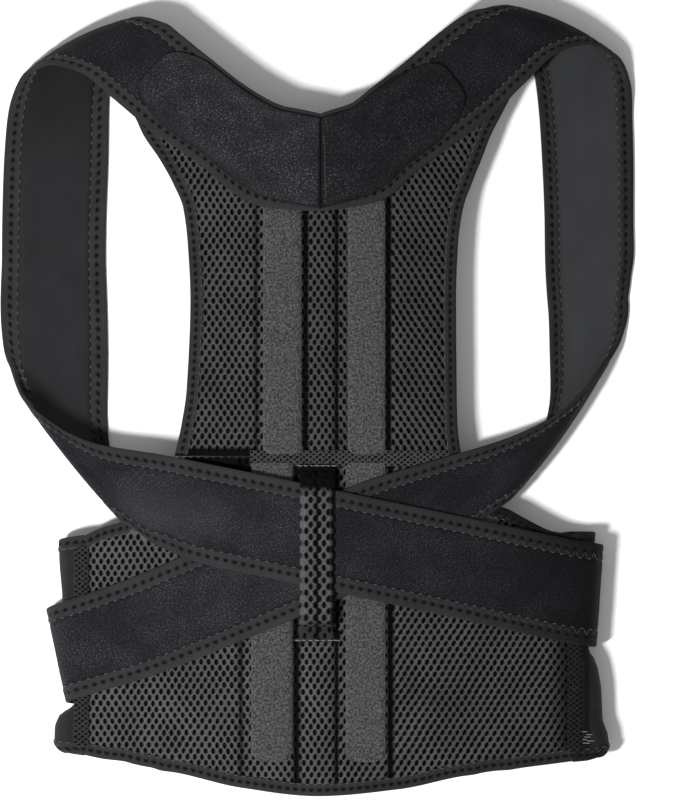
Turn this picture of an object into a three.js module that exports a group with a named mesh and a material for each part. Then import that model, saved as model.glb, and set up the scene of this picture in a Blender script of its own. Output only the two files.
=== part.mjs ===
// A back brace that straightens the shoulders, lying on its front with its outer back side up.
// Millimetres, +X to the wearer's right as seen from behind, +Y to the neck, +Z up from the surface.
// The origin is under the middle of the brace, on the surface that it lies on.
import * as THREE from 'three';

// Overall sizes of the brace as it lies.
const braceWidth = 380;
const braceLength = 474;

// Cloth widths.
const strapWidth = 63;
const strapTapeWidth = 10;
const panelTapeWidth = 6.5;
const pocketWidth = 27;
const middleChannelWidth = 24;
const keeperWidth = 21;
const hookPatchWidth = 60;
const hookPatchHeight = 84;
const wingOverlap = 72;

// Cloth thicknesses.
const strapThickness = 2.8;
const panelThickness = 4;
const panelTapeThickness = 3.2;
const pocketThickness = 1.4;
const keeperThickness = 1.6;
const tabThickness = 1.2;
const wingThickness = 2;
const hookPatchThickness = 1;

// Depths of the quilting below the panel's full thickness.
const seamDepth = 1;
const pocketRecess = 0.9;

// Clear height inside the belt, and how far the brace's sides hang below its middle.
const waistOpening = 12;
const sideDroop = 4;

// Clearances between layers, between sewn edges, and round the belt's side folds.
const layerGap = 0.4;
const edgeGap = 0.3;
const wrapGap = 2;

// The height over which a belt side comes out again beside a strap that presses it in.
const pressedRise = 6;

// Lengths of the keeper's sewn feet beyond the crossed straps, and the slope up to them.
const keeperTopFoot = 4;
const keeperBottomFoot = 9;
const keeperSlope = 5;

// The length of a step along the straps' flat legs and round their folds, and the least distance
// between the waist panel's columns.
const strapStep = 18;
const foldStep = 7;
const columnSpacing = 0.6;

// Heights of the middle of each layer above the surface, from the surface up.
const floorMid = strapThickness / 2;
const leftWingMid = strapThickness + layerGap + wingThickness / 2;
const hookPatchMid = leftWingMid + wingThickness / 2 + layerGap + hookPatchThickness / 2;
const rightWingMid = hookPatchMid + hookPatchThickness / 2 + layerGap + wingThickness / 2;
const panelMid = rightWingMid + wingThickness / 2 + waistOpening + panelThickness / 2;
const panelTop = panelMid + panelThickness / 2;
const pocketMid = panelTop - pocketRecess + edgeGap + pocketThickness / 2;
const crossMid = pocketMid + pocketThickness / 2 + layerGap + strapThickness / 2;
const overMid = crossMid + strapThickness + layerGap;
const keeperMid = overMid + strapThickness / 2 + layerGap + keeperThickness / 2;
const keeperFootMid = pocketMid + pocketThickness / 2 + edgeGap + keeperThickness / 2;
const settleMid = THREE.MathUtils.lerp(crossMid, overMid, 0.8);

// Heights of the first, middle and last rows round a strap's fold, between the layers it joins.
const foldHigh = THREE.MathUtils.lerp(floorMid, crossMid, 0.85);
const foldHalf = THREE.MathUtils.lerp(floorMid, crossMid, 0.5);
const foldLow = THREE.MathUtils.lerp(floorMid, crossMid, 0.15);
const foldOver = THREE.MathUtils.lerp(floorMid, crossMid, 0.975);

const finishes = {
  spacerMesh: { color: 0x343536, roughness: 0.9, metalness: 0 },
  strapCloth: { color: 0x202127, roughness: 0.95, metalness: 0 },
  edgeTape: { color: 0x2c2d2e, roughness: 0.85, metalness: 0 },
  pocketWeave: { color: 0x484949, roughness: 0.85, metalness: 0 },
  loopPile: { color: 0x2a2c2f, roughness: 0.95, metalness: 0 },
  elastic: { color: 0x303132, roughness: 0.8, metalness: 0 },
  hookPile: { color: 0x1b1b1c, roughness: 0.7, metalness: 0 },
};

// Where each strap goes, one row for each crosswise line over it. x and y are the line's middle, as
// shares of the brace's width from its centre line and of its length from its hem. turn is the line's
// direction in degrees, wide its length as a share of the strap's width, and bow how far its middle
// bulges, as a share of that width.
const yokeEnd = { y: 0.803, turn: 90, wide: 0.93 };
const yokeMiddle = 0.003;
const yokeSeam = edgeGap / 2 / braceWidth;
const leftSideFold = { x: 0.441, y: 0.249, turn: -94, wide: 0.99 };
const leftStrapRoute = [
  { ...yokeEnd, x: yokeMiddle - yokeSeam, z: crossMid, bow: 0 },
  { x: -0.073, y: 0.811, turn: 74, wide: 0.98, z: crossMid, bow: 0 },
  { x: -0.155, y: 0.853, turn: 54, wide: 0.86, z: crossMid, bow: 0 },
  { x: -0.2194, y: 0.8906, turn: 52, wide: 0.887, z: crossMid, bow: 0 },
  { x: -0.2685, y: 0.9231, turn: 45, wide: 0.882, z: crossMid, bow: 0.02 },
  { x: -0.309, y: 0.948, turn: 31, wide: 0.92, z: crossMid, bow: 0.04 },
  { x: -0.35, y: 0.956, turn: 26, wide: 1.02, z: foldHigh, bow: 0.06 },
  { x: -0.383, y: 0.947, turn: 27, wide: 1.09, z: foldHalf, bow: 0.07 },
  { x: -0.402, y: 0.916, turn: 24, wide: 1.09, z: foldLow, bow: 0.02 },
  { x: -0.413, y: 0.864, turn: 20, wide: 1.05, z: floorMid, bow: 0 },
  { x: -0.416, y: 0.794, turn: 11, wide: 1.02, z: floorMid, bow: 0 },
  { x: -0.419, y: 0.686, turn: 0, wide: 0.99, z: floorMid, bow: 0 },
  { x: -0.417, y: 0.531, turn: -34, wide: 1.2, z: floorMid, bow: 0 },
  { x: -0.406, y: 0.48, turn: -45, wide: 1.39, z: foldLow, bow: 0 },
  { x: -0.396, y: 0.441, turn: -51, wide: 1.49, z: foldHalf, bow: 0.03 },
  { x: -0.377, y: 0.421, turn: -51.5, wide: 1.41, z: foldOver, bow: 0.02 },
  { x: -0.347, y: 0.403, turn: -53, wide: 1.25, z: crossMid, bow: 0 },
  { x: -0.306, y: 0.385, turn: -60, wide: 1.1, z: crossMid, bow: 0 },
  { x: -0.256, y: 0.375, turn: -72.5, wide: 1, z: settleMid, bow: 0 },
  { x: -0.198, y: 0.363, turn: -87, wide: 0.97, z: overMid, bow: 0 },
  { x: -0.009, y: 0.331, turn: -99, wide: 0.95, z: overMid, bow: 0 },
  { x: 0.233, y: 0.29, turn: -100, wide: 0.96, z: overMid, bow: 0 },
  { x: 0.34, y: 0.271, turn: -97, wide: 0.97, z: crossMid, bow: 0 },
  { x: 0.407, y: 0.26, turn: -94, wide: 0.98, z: crossMid, bow: 0 },
  { x: 0.434, y: 0.2545, turn: -94, wide: 0.99, z: foldHigh, bow: 0 },
  { ...leftSideFold, z: foldHalf, bow: 0 },
  { x: 0.434, y: 0.2435, turn: -94, wide: 0.99, z: foldLow, bow: 0 },
  { x: 0.404, y: 0.24, turn: -94, wide: 0.98, z: floorMid, bow: 0 },
  { x: 0.313, y: 0.234, turn: -93, wide: 0.97, z: floorMid, bow: 0 },
  { x: 0.187, y: 0.226, turn: -93, wide: 0.97, z: floorMid, bow: 0 },
];
const rightSideFold = { x: -0.411, y: 0.18, turn: -78, wide: 0.92 };
const rightStrapRoute = [
  { ...yokeEnd, x: yokeMiddle + yokeSeam, z: crossMid, bow: 0 },
  { x: 0.075, y: 0.8164, turn: 108, wide: 0.966, z: crossMid, bow: 0 },
  { x: 0.116, y: 0.8426, turn: 120.7, wide: 0.9, z: crossMid, bow: 0 },
  { x: 0.162, y: 0.87, turn: 127, wide: 0.9, z: crossMid, bow: 0 },
  { x: 0.225, y: 0.91, turn: 128, wide: 0.93, z: crossMid, bow: 0 },
  { x: 0.2733, y: 0.9439, turn: 131.7, wide: 0.876, z: crossMid, bow: 0.02 },
  { x: 0.3149, y: 0.9681, turn: 148.1, wide: 0.82, z: crossMid, bow: 0.04 },
  { x: 0.3537, y: 0.9756, turn: 157, wide: 0.94, z: foldHigh, bow: 0.06 },
  { x: 0.3937, y: 0.9643, turn: 154.6, wide: 1.094, z: foldHalf, bow: 0.07 },
  { x: 0.411, y: 0.932, turn: 157, wide: 1.08, z: foldLow, bow: 0.02 },
  { x: 0.42, y: 0.881, turn: 159, wide: 0.99, z: floorMid, bow: 0 },
  { x: 0.425, y: 0.816, turn: 166, wide: 0.91, z: floorMid, bow: 0 },
  { x: 0.428, y: 0.715, turn: 178, wide: 0.85, z: floorMid, bow: 0 },
  { x: 0.429, y: 0.64, turn: 204, wide: 0.87, z: floorMid, bow: 0 },
  { x: 0.428, y: 0.566, turn: 231, wide: 1.19, z: floorMid, bow: 0 },
  { x: 0.409, y: 0.506, turn: 235, wide: 1.52, z: foldLow, bow: 0.01 },
  { x: 0.38, y: 0.469, turn: 235, wide: 1.6, z: foldHalf, bow: 0.06 },
  { x: 0.357, y: 0.447, turn: 234, wide: 1.42, z: foldHigh, bow: 0.04 },
  { x: 0.325, y: 0.424, turn: 235, wide: 1.21, z: crossMid, bow: 0 },
  { x: 0.277, y: 0.401, turn: 242, wide: 1.03, z: crossMid, bow: 0 },
  { x: 0.223, y: 0.382, turn: 257, wide: 0.9, z: crossMid, bow: 0 },
  { x: 0.164, y: 0.363, turn: 271, wide: 0.89, z: crossMid, bow: 0 },
  { x: 0.101, y: 0.343, turn: 283, wide: 0.93, z: crossMid, bow: 0 },
  { x: -0.081, y: 0.282, turn: 290, wide: 0.97, z: crossMid, bow: 0 },
  { x: -0.29, y: 0.213, turn: 288, wide: 0.94, z: crossMid, bow: 0 },
  { x: -0.376, y: 0.191, turn: 283, wide: 0.92, z: crossMid, bow: 0 },
  { x: -0.403, y: 0.184, turn: 282, wide: 0.92, z: foldHigh, bow: 0 },
  { ...rightSideFold, turn: 282, z: foldHalf, bow: 0 },
  { x: -0.403, y: 0.178, turn: 282, wide: 0.92, z: foldLow, bow: 0 },
  { x: -0.38, y: 0.176, turn: 282, wide: 0.92, z: floorMid, bow: 0 },
  { x: -0.283, y: 0.17, turn: 281, wide: 0.93, z: floorMid, bow: 0 },
  { x: -0.174, y: 0.165, turn: 279, wide: 0.93, z: floorMid, bow: 0 },
];

// The upper panel's two armhole edges from its join to its hidden top, whose middle dips by dip.
const joinHeight = 0.432;
const upperOutline = [
  { y: joinHeight, left: -0.227, right: 0.225, dip: 0 },
  { y: 0.472, left: -0.216, right: 0.219, dip: 0 },
  { y: 0.516, left: -0.208, right: 0.218, dip: 0 },
  { y: 0.63, left: -0.202, right: 0.217, dip: 0 },
  { y: 0.699, left: -0.206, right: 0.22, dip: 0 },
  { y: 0.745, left: -0.213, right: 0.228, dip: 0.004 },
  { y: 0.775, left: -0.228, right: 0.241, dip: 0.01 },
  { y: 0.807, left: -0.25, right: 0.257, dip: 0.02 },
  { y: 0.838, left: -0.276, right: 0.272, dip: 0.03 },
  { y: 0.857, left: -0.287, right: 0.284, dip: 0.04 },
  { y: 0.886, left: -0.31, right: 0.314, dip: 0.066 },
];

// The waist panel's upper edge and hem, from its left side seam to its right one.
const lumbarOutline = [
  { x: -0.369, top: 0.332, hem: 0.054 },
  { x: -0.339, top: 0.343, hem: 0.049 },
  { x: -0.307, top: 0.35, hem: 0.046 },
  { x: -0.293, top: 0.356, hem: 0.043 },
  { x: -0.277, top: 0.357, hem: 0.04 },
  { x: -0.263, top: 0.37, hem: 0.038 },
  { x: -0.246, top: 0.398, hem: 0.034 },
  { x: -0.227, top: joinHeight, hem: 0.032 },
  { x: -0.124, top: joinHeight, hem: 0.013 },
  { x: -0.001, top: joinHeight, hem: 0.002 },
  { x: 0.129, top: joinHeight, hem: 0.011 },
  { x: 0.225, top: joinHeight, hem: 0.027 },
  { x: 0.244, top: 0.394, hem: 0.029 },
  { x: 0.261, top: 0.364, hem: 0.032 },
  { x: 0.28, top: 0.355, hem: 0.034 },
  { x: 0.299, top: 0.356, hem: 0.035 },
  { x: 0.323, top: 0.353, hem: 0.038 },
  { x: 0.372, top: 0.338, hem: 0.043 },
  { x: 0.4, top: 0.334, hem: 0.046 },
];

// The belt's side silhouettes from hem to top, before the straps that wrap them press them in.
const leftWing = {
  seam: lumbarOutline[0],
  topAtSide: 0.326,
  hemAtSide: 0.0585,
  silhouette: [
    { y: 0.058, x: -0.398 },
    { y: 0.064, x: -0.41 },
    { y: 0.071, x: -0.4145 },
    { y: 0.088, x: -0.414 },
    { y: 0.1, x: -0.409 },
    { y: 0.12, x: -0.396 },
    { y: 0.253, x: -0.402 },
    { y: 0.31, x: -0.407 },
    { y: 0.33, x: -0.406 },
  ],
};
const rightWing = {
  seam: lumbarOutline[lumbarOutline.length - 1],
  topAtSide: 0.336,
  hemAtSide: 0.054,
  silhouette: [
    { y: 0.052, x: 0.443 },
    { y: 0.058, x: 0.452 },
    { y: 0.066, x: 0.456 },
    { y: 0.08, x: 0.454 },
    { y: 0.1, x: 0.446 },
    { y: 0.136, x: 0.444 },
    { y: 0.161, x: 0.439 },
    { y: 0.185, x: 0.43 },
    { y: 0.25, x: 0.425 },
    { y: 0.34, x: 0.434 },
  ],
};

// The belt's front ends, whose top and hem are nearer each other than at the sides.
const wingFrontTop = 0.29;
const wingFrontHem = 0.1;

// Where the quilted channels lie, as shares of the brace's width from its centre line.
const upperChannelCentre = 0.0055;
const lumbarChannelCentre = -0.004;

// The stay pockets' ends and the keeper's middle, as shares of the brace's length.
const upperPocketTop = 0.755;
const upperPocketFoot = 0.439;
const lowerPocketTop = 0.424;
const lowerPocketFoot = 0.052;
const keeperPlace = { x: -0.003, y: 0.315 };

// How far the crossed straps reach on each side of the keeper's middle, as a share of their width.
const crossedSpan = 0.66;

// How far along its strap each yoke tab reaches, in rows of the strap's table, and its round end.
const leftTabReach = 3.95;
const rightTabReach = 3.35;
const tabRoundShare = 0.26;

// Slopes at the rows of a table for a curve that passes each row and never swings past it.
function slopesThrough(knots, values) {
  const secants = values.slice(1).map((value, i) => (value - values[i]) / (knots[i + 1] - knots[i]));
  return values.map((value, i) => {
    const before = secants[Math.max(i - 1, 0)];
    const after = secants[Math.min(i, secants.length - 1)];
    return before * after <= 0 ? 0 : (2 * before * after) / (before + after);
  });
}

// A smooth function of one column of a table, between the knots given for its rows.
function smooth(knots, values) {
  const slopes = slopesThrough(knots, values);
  return (at) => {
    const found = knots.findIndex((knot) => knot > at);
    const i = found < 0 ? knots.length - 2 : Math.max(found - 1, 0);
    const span = knots[i + 1] - knots[i];
    const t = THREE.MathUtils.clamp((at - knots[i]) / span, 0, 1);
    const rise = values[i + 1] - values[i];
    const bend = (1 - t) * slopes[i] * span - t * slopes[i + 1] * span - (1 - 2 * t) * rise;
    return values[i] + rise * t + t * (1 - t) * bend;
  };
}

// The smooth functions of every named column of a table, over one of its columns.
function columnsOver(rows, knotColumn, names) {
  const knots = rows.map((row) => row[knotColumn]);
  return Object.fromEntries(names.map((name) => [name, smooth(knots, rows.map((row) => row[name]))]));
}

// Lowers the brace's sides in a gentle arch. What lies on the surface stays flat on it.
function droop(point) {
  const outward = Math.min(Math.abs(point.x) / (braceWidth / 2), 1);
  point.z -= (sideDroop * outward * outward * point.z) / panelTop;
  return point;
}

// How far each face of an even cloth lies from its middle surface.
function evenly(thickness) {
  return () => thickness / 2;
}

// A closed sheet of cloth. place gives a point of its middle surface for shares u and v from 0 to 1,
// and under and over give how far its faces lie from that surface.
function cloth(name, finish, uSteps, vSteps, place, under, over = under) {
  const positions = [];
  const faces = [];
  const small = 1e-4;
  const across = new THREE.Vector3();
  const along = new THREE.Vector3();
  const normal = new THREE.Vector3();
  const rowLength = vSteps.length;
  for (const [sign, reach] of [[1, over], [-1, under]]) {
    for (const u of uSteps) {
      for (const v of vSteps) {
        const uBack = Math.max(u - small, 0);
        const vBack = Math.max(v - small, 0);
        across.subVectors(place(Math.min(u + small, 1), v), place(uBack, v));
        along.subVectors(place(u, Math.min(v + small, 1)), place(u, vBack));
        normal.crossVectors(across, along).normalize();
        const point = droop(place(u, v).addScaledVector(normal, sign * reach(u, v)));
        positions.push(point.x, point.y, point.z);
      }
    }
  }
  const lower = uSteps.length * rowLength;
  const quad = (a, b, c, d) => faces.push(a, b, c, a, c, d);
  for (let i = 0; i + 1 < uSteps.length; i += 1) {
    for (let j = 0; j + 1 < rowLength; j += 1) {
      const corner = i * rowLength + j;
      quad(corner, corner + rowLength, corner + rowLength + 1, corner + 1);
      const below = lower + corner;
      quad(below, below + 1, below + rowLength + 1, below + rowLength);
    }
  }
  for (let i = 0; i + 1 < uSteps.length; i += 1) {
    const near = i * rowLength;
    const far = near + rowLength - 1;
    quad(near, lower + near, lower + near + rowLength, near + rowLength);
    quad(far, far + rowLength, lower + far + rowLength, lower + far);
  }
  const lastRow = (uSteps.length - 1) * rowLength;
  for (let j = 0; j + 1 < rowLength; j += 1) {
    quad(j, j + 1, lower + j + 1, lower + j);
    quad(lastRow + j, lower + lastRow + j, lower + lastRow + j + 1, lastRow + j + 1);
  }
  const geometry = new THREE.BufferGeometry();
  geometry.setAttribute('position', new THREE.Float32BufferAttribute(positions, 3));
  geometry.setIndex(faces);
  geometry.computeVertexNormals();
  const mesh = new THREE.Mesh(geometry, new THREE.MeshStandardMaterial(finishes[finish]));
  mesh.name = name;
  return mesh;
}

// Evenly spaced shares from 0 to 1.
function shares(count) {
  return Array.from({ length: count + 1 }, (unused, i) => i / count);
}

// A strap's middle surface: a point for a distance across from its middle and a place along it in
// rows of its table.
function strapSurface(rows) {
  const numbered = rows.map((row, number) => ({ ...row, number }));
  const column = columnsOver(numbered, 'number', ['x', 'y', 'z', 'turn', 'wide', 'bow']);
  const line = (across, row) => {
    const turn = THREE.MathUtils.degToRad(column.turn(row));
    const reach = across * column.wide(row);
    const x = column.x(row) * braceWidth + reach * Math.cos(turn);
    const y = column.y(row) * braceLength + reach * Math.sin(turn);
    return new THREE.Vector3(x, y, column.z(row));
  };
  const small = 1e-3;
  const last = rows.length - 1;
  return (across, row) => {
    const point = line(across, row);
    const bow = column.bow(row) * strapWidth;
    if (bow === 0) {
      return point;
    }
    const ahead = line(across, Math.min(row + small, last)).sub(line(across, Math.max(row - small, 0)));
    const turn = THREE.MathUtils.degToRad(column.turn(row));
    const crosswise = new THREE.Vector3(Math.cos(turn), Math.sin(turn), 0);
    const outward = ahead.cross(crosswise).normalize();
    const side = rows[1].x < 0 ? -1 : 1;
    const share = (2 * across) / strapWidth;
    return point.addScaledVector(outward, side * bow * (1 - share * share));
  };
}

// Places along a strap, in rows of its table: a step at each row and steps between far rows.
function strapRows(rows) {
  const places = [0];
  for (let i = 1; i < rows.length; i += 1) {
    const run = (rows[i].x - rows[i - 1].x) * braceWidth;
    const rise = (rows[i].y - rows[i - 1].y) * braceLength;
    const drop = rows[i].z - rows[i - 1].z;
    const step = Math.abs(drop) > strapThickness ? foldStep : strapStep;
    const count = Math.max(1, Math.round(Math.hypot(run, rise, drop) / step));
    for (let k = 1; k <= count; k += 1) {
      places.push(i - 1 + k / count);
    }
  }
  return places;
}

// One lengthwise strip of a strap, between two distances from its middle.
function strapStrip(name, finish, rows, from, to, acrossSteps) {
  const surface = strapSurface(rows);
  const last = rows.length - 1;
  const places = strapRows(rows).map((row) => row / last);
  const place = (u, v) => surface(THREE.MathUtils.lerp(from, to, v), u * last);
  return cloth(name, finish, places, shares(acrossSteps), place, evenly(strapThickness));
}

// A whole strap: its padded middle and the tapes along its two edges. The inner edge is the one
// nearer the armhole at the shoulder.
function strap(side, rows) {
  const edge = strapWidth / 2;
  const seam = edge - strapTapeWidth;
  return [
    strapStrip(`shoulder_strap_${side}`, 'strapCloth', rows, -seam + edgeGap, seam - edgeGap, 4),
    strapStrip(`strap_tape_${side}_inner`, 'edgeTape', rows, -edge, -seam, 1),
    strapStrip(`strap_tape_${side}_outer`, 'edgeTape', rows, seam, edge, 1),
  ];
}

// A round-ended patch on a strap, from the yoke's middle seam out to its reach.
function yokeTab(side, rows, reach) {
  const surface = strapSurface(rows);
  const half = strapWidth / 2 - strapTapeWidth;
  const lift = strapThickness / 2 + edgeGap + tabThickness / 2;
  const place = (u, v) => {
    const across = 2 * v - 1;
    const round = 1 - tabRoundShare * across ** 4;
    const point = surface(across * half, u * reach * round);
    point.z += lift;
    return point;
  };
  return cloth(`yoke_tab_${side}`, 'loopPile', shares(12), shares(10), place, evenly(tabThickness));
}

// The quilted channels across a panel between its two sides: where each starts and ends, and how
// far its middle and its edges lie below the panel's full thickness.
function channels(centre, left, right) {
  const middle = centre * braceWidth;
  const inner = middleChannelWidth / 2;
  const outer = inner + pocketWidth;
  return [
    { from: left, to: middle - outer, crown: 0, edge: seamDepth },
    { from: middle - outer, to: middle - inner, crown: pocketRecess, edge: pocketRecess },
    { from: middle - inner, to: middle + inner, crown: 0, edge: seamDepth },
    { from: middle + inner, to: middle + outer, crown: pocketRecess, edge: pocketRecess },
    { from: middle + outer, to: right, crown: 0, edge: seamDepth },
  ];
}

// How far a panel's upper face lies below its full thickness, at a share of its channels.
function quilting(channel, share) {
  const crown = Math.sqrt(Math.max(1 - (2 * share - 1) ** 2, 0));
  return THREE.MathUtils.lerp(channel.edge, channel.crown, crown);
}

// Steps across a quilted panel, as channel number plus share, closer together at the seams.
const channelCount = 5;
const channelShares = [0, 0.08, 0.3, 0.7, 0.92];
const quiltSteps = Array.from({ length: channelCount }, (unused, i) => i)
  .flatMap((channel) => channelShares.map((share) => (channel + share) / channelCount))
  .concat(1);
const rounding = 1e-9;

// The channel at a share of a panel's width, and the share of that channel.
function channelAt(u) {
  const number = Math.min(Math.floor(u * channelCount + rounding), channelCount - 1);
  return { number, share: u * channelCount - number };
}

// A width measured square to an edge, as a width measured along one axis.
function slanted(width, edge, at) {
  const small = 1e-3;
  const slope = (edge(at + small) - edge(at - small)) / (2 * small);
  return width * Math.hypot(1, slope);
}

// The upper panel's sides, in millimetres over its height.
const upperShape = columnsOver(upperOutline, 'y', ['left', 'right', 'dip']);
const upperFoot = joinHeight * braceLength + edgeGap / 2;
const upperHead = upperOutline[upperOutline.length - 1].y * braceLength;
const upperLeft = (y) => upperShape.left(y / braceLength) * braceWidth;
const upperRight = (y) => upperShape.right(y / braceLength) * braceWidth;

// The height of a point on the upper panel, whose rows dip in the middle near the neck.
function upperRowHeight(x, y) {
  const half = (upperRight(y) - upperLeft(y)) / 2;
  const share = (x - upperLeft(y)) / half - 1;
  return y - upperShape.dip(y / braceLength) * braceLength * (1 - share * share);
}

function upperPanel() {
  const band = panelTapeWidth + edgeGap;
  const place = (u, v) => {
    const y = THREE.MathUtils.lerp(upperFoot, upperHead, v);
    const left = upperLeft(y) + slanted(band, upperLeft, y);
    const right = upperRight(y) - slanted(band, upperRight, y);
    const { number, share } = channelAt(u);
    const channel = channels(upperChannelCentre, left, right)[number];
    const x = THREE.MathUtils.lerp(channel.from, channel.to, share);
    return new THREE.Vector3(x, upperRowHeight(x, y), panelMid);
  };
  const over = (u) => {
    const { number, share } = channelAt(u);
    return panelThickness / 2 - quilting(channels(upperChannelCentre, 0, 0)[number], share);
  };
  return cloth('upper_panel', 'spacerMesh', quiltSteps, shares(14), place, evenly(panelThickness), over);
}

// A tape along one armhole edge of the upper panel.
function armholeBinding(side) {
  const edge = side === 'left' ? upperLeft : upperRight;
  const inward = side === 'left' ? 1 : -1;
  const place = (u, v) => {
    const y = THREE.MathUtils.lerp(upperFoot, upperHead, v);
    const x = edge(y) + inward * u * slanted(panelTapeWidth, edge, y);
    return new THREE.Vector3(x, upperRowHeight(x, y), panelMid);
  };
  const name = `armhole_binding_${side}`;
  return cloth(name, 'edgeTape', shares(1), shares(14), place, evenly(panelTapeThickness));
}

// The waist panel's edges, in millimetres over its width.
const lumbarShape = columnsOver(lumbarOutline, 'x', ['top', 'hem']);
const lumbarLeft = lumbarOutline[0].x * braceWidth;
const lumbarRight = lumbarOutline[lumbarOutline.length - 1].x * braceWidth;
const lumbarTop = (x) => lumbarShape.top(x / braceWidth) * braceLength;
const lumbarHem = (x) => lumbarShape.hem(x / braceWidth) * braceLength;
const joinLeft = upperOutline[0].left * braceWidth;
const joinRight = upperOutline[0].right * braceWidth;

// The waist panel's upper edge without its binding: the join with the upper panel is bare.
function lumbarCoreTop(x) {
  const bound = x < joinLeft + edgeGap / 2 || x > joinRight - edgeGap / 2;
  const y = lumbarTop(x) - edgeGap / 2;
  return bound ? y - slanted(panelTapeWidth + edgeGap, lumbarTop, x) : y;
}

// The places across the waist panel where its outline or its quilting has a row, from left to right.
function lumbarColumns() {
  const seams = channels(lumbarChannelCentre, joinLeft, joinRight);
  const stepsIn = ({ from, to }) => channelShares.map((share) => THREE.MathUtils.lerp(from, to, share));
  const quilted = seams.flatMap(stepsIn);
  const outline = lumbarOutline.map((row) => row.x * braceWidth);
  const between = quilted.filter((x) => outline.every((row) => Math.abs(row - x) > columnSpacing));
  return [...outline, ...between].sort((a, b) => a - b);
}

function lumbarPanel() {
  const width = lumbarRight - lumbarLeft;
  const steps = lumbarColumns().map((x) => (x - lumbarLeft) / width);
  const place = (u, v) => {
    const x = lumbarLeft + u * width;
    const low = lumbarHem(x) + edgeGap / 2 + slanted(panelTapeWidth + edgeGap, lumbarHem, x);
    return new THREE.Vector3(x, THREE.MathUtils.lerp(low, lumbarCoreTop(x), v), panelMid);
  };
  const across = channels(lumbarChannelCentre, lumbarLeft, lumbarRight);
  const over = (u) => {
    const x = lumbarLeft + u * width;
    const channel = across.find((one) => x <= one.to + rounding);
    const share = THREE.MathUtils.clamp((x - channel.from) / (channel.to - channel.from), 0, 1);
    return panelThickness / 2 - quilting(channel, share);
  };
  return cloth('lumbar_panel', 'spacerMesh', steps, shares(4), place, evenly(panelThickness), over);
}

// A tape along the waist panel's hem or along a stretch of its upper edge.
function waistTape(name, from, to, edge, inward) {
  const steps = lumbarColumns().filter((x) => x >= from && x <= to).map((x) => (x - from) / (to - from));
  const place = (u, v) => {
    const x = THREE.MathUtils.lerp(from, to, u);
    const y = edge(x) + inward * (edgeGap / 2 + v * slanted(panelTapeWidth, edge, x));
    return new THREE.Vector3(x, y, panelMid);
  };
  return cloth(name, 'edgeTape', steps, shares(1), place, evenly(panelTapeThickness));
}

// A woven pocket for a stay, sewn on a panel's recessed channel, with a rounded lower end.
function stayPocket(name, centre, side, foot, head) {
  const inner = middleChannelWidth / 2 + edgeGap;
  const outer = middleChannelWidth / 2 + pocketWidth - edgeGap;
  const middle = centre * braceWidth + (side * (inner + outer)) / 2;
  const half = (outer - inner) / 2;
  const round = pocketWidth / 6;
  const place = (u, v) => {
    const low = foot * braceLength + round * (1 - Math.sqrt(Math.max(1 - (2 * u - 1) ** 4, 0)));
    const y = THREE.MathUtils.lerp(low, head * braceLength, v);
    return new THREE.Vector3(middle + (2 * u - 1) * half, y, pocketMid);
  };
  return cloth(name, 'pocketWeave', shares(6), shares(4), place, evenly(pocketThickness));
}

// The mesh loop over the crossed straps, sewn down at its two feet.
function keeper() {
  const x = keeperPlace.x * braceWidth;
  const y = keeperPlace.y * braceLength;
  const reach = strapWidth * crossedSpan;
  const rows = [
    { y: y - reach - keeperSlope - keeperBottomFoot, z: keeperFootMid },
    { y: y - reach - keeperSlope, z: keeperFootMid },
    { y: y - reach, z: keeperMid },
    { y: y + reach, z: keeperMid },
    { y: y + reach + keeperSlope, z: keeperFootMid },
    { y: y + reach + keeperSlope + keeperTopFoot, z: keeperFootMid },
  ];
  const column = columnsOver(rows.map((row, number) => ({ ...row, number })), 'number', ['y', 'z']);
  const last = rows.length - 1;
  const place = (u, v) => {
    return new THREE.Vector3(x + (u - 0.5) * keeperWidth, column.y(v * last), column.z(v * last));
  };
  const steps = [0, 1, 1.25, 1.5, 1.75, 2, 2.33, 2.67, 3, 3.25, 3.5, 3.75, 4, 5].map((row) => row / last);
  return cloth('strap_keeper', 'spacerMesh', shares(2), steps, place, evenly(keeperThickness));
}

// How far in from its own silhouette a belt side is pressed where a strap wraps round it.
function pressedSide(natural, inward, fold, y) {
  const turn = THREE.MathUtils.degToRad(fold.turn);
  const half = (strapWidth * fold.wide * Math.abs(Math.sin(turn))) / 2;
  const offset = y - fold.y * braceLength;
  const line = fold.x * braceWidth + offset / Math.tan(turn);
  const inner = line + inward * (strapThickness / 2 + wrapGap + wingThickness / 2);
  const away = Math.max(Math.abs(offset) - half - wrapGap / 2, 0);
  const weight = Math.max(1 - away / pressedRise, 0);
  const pressed = inward > 0 ? Math.max(natural, inner) : Math.min(natural, inner);
  return THREE.MathUtils.lerp(natural, pressed, weight);
}

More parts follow.
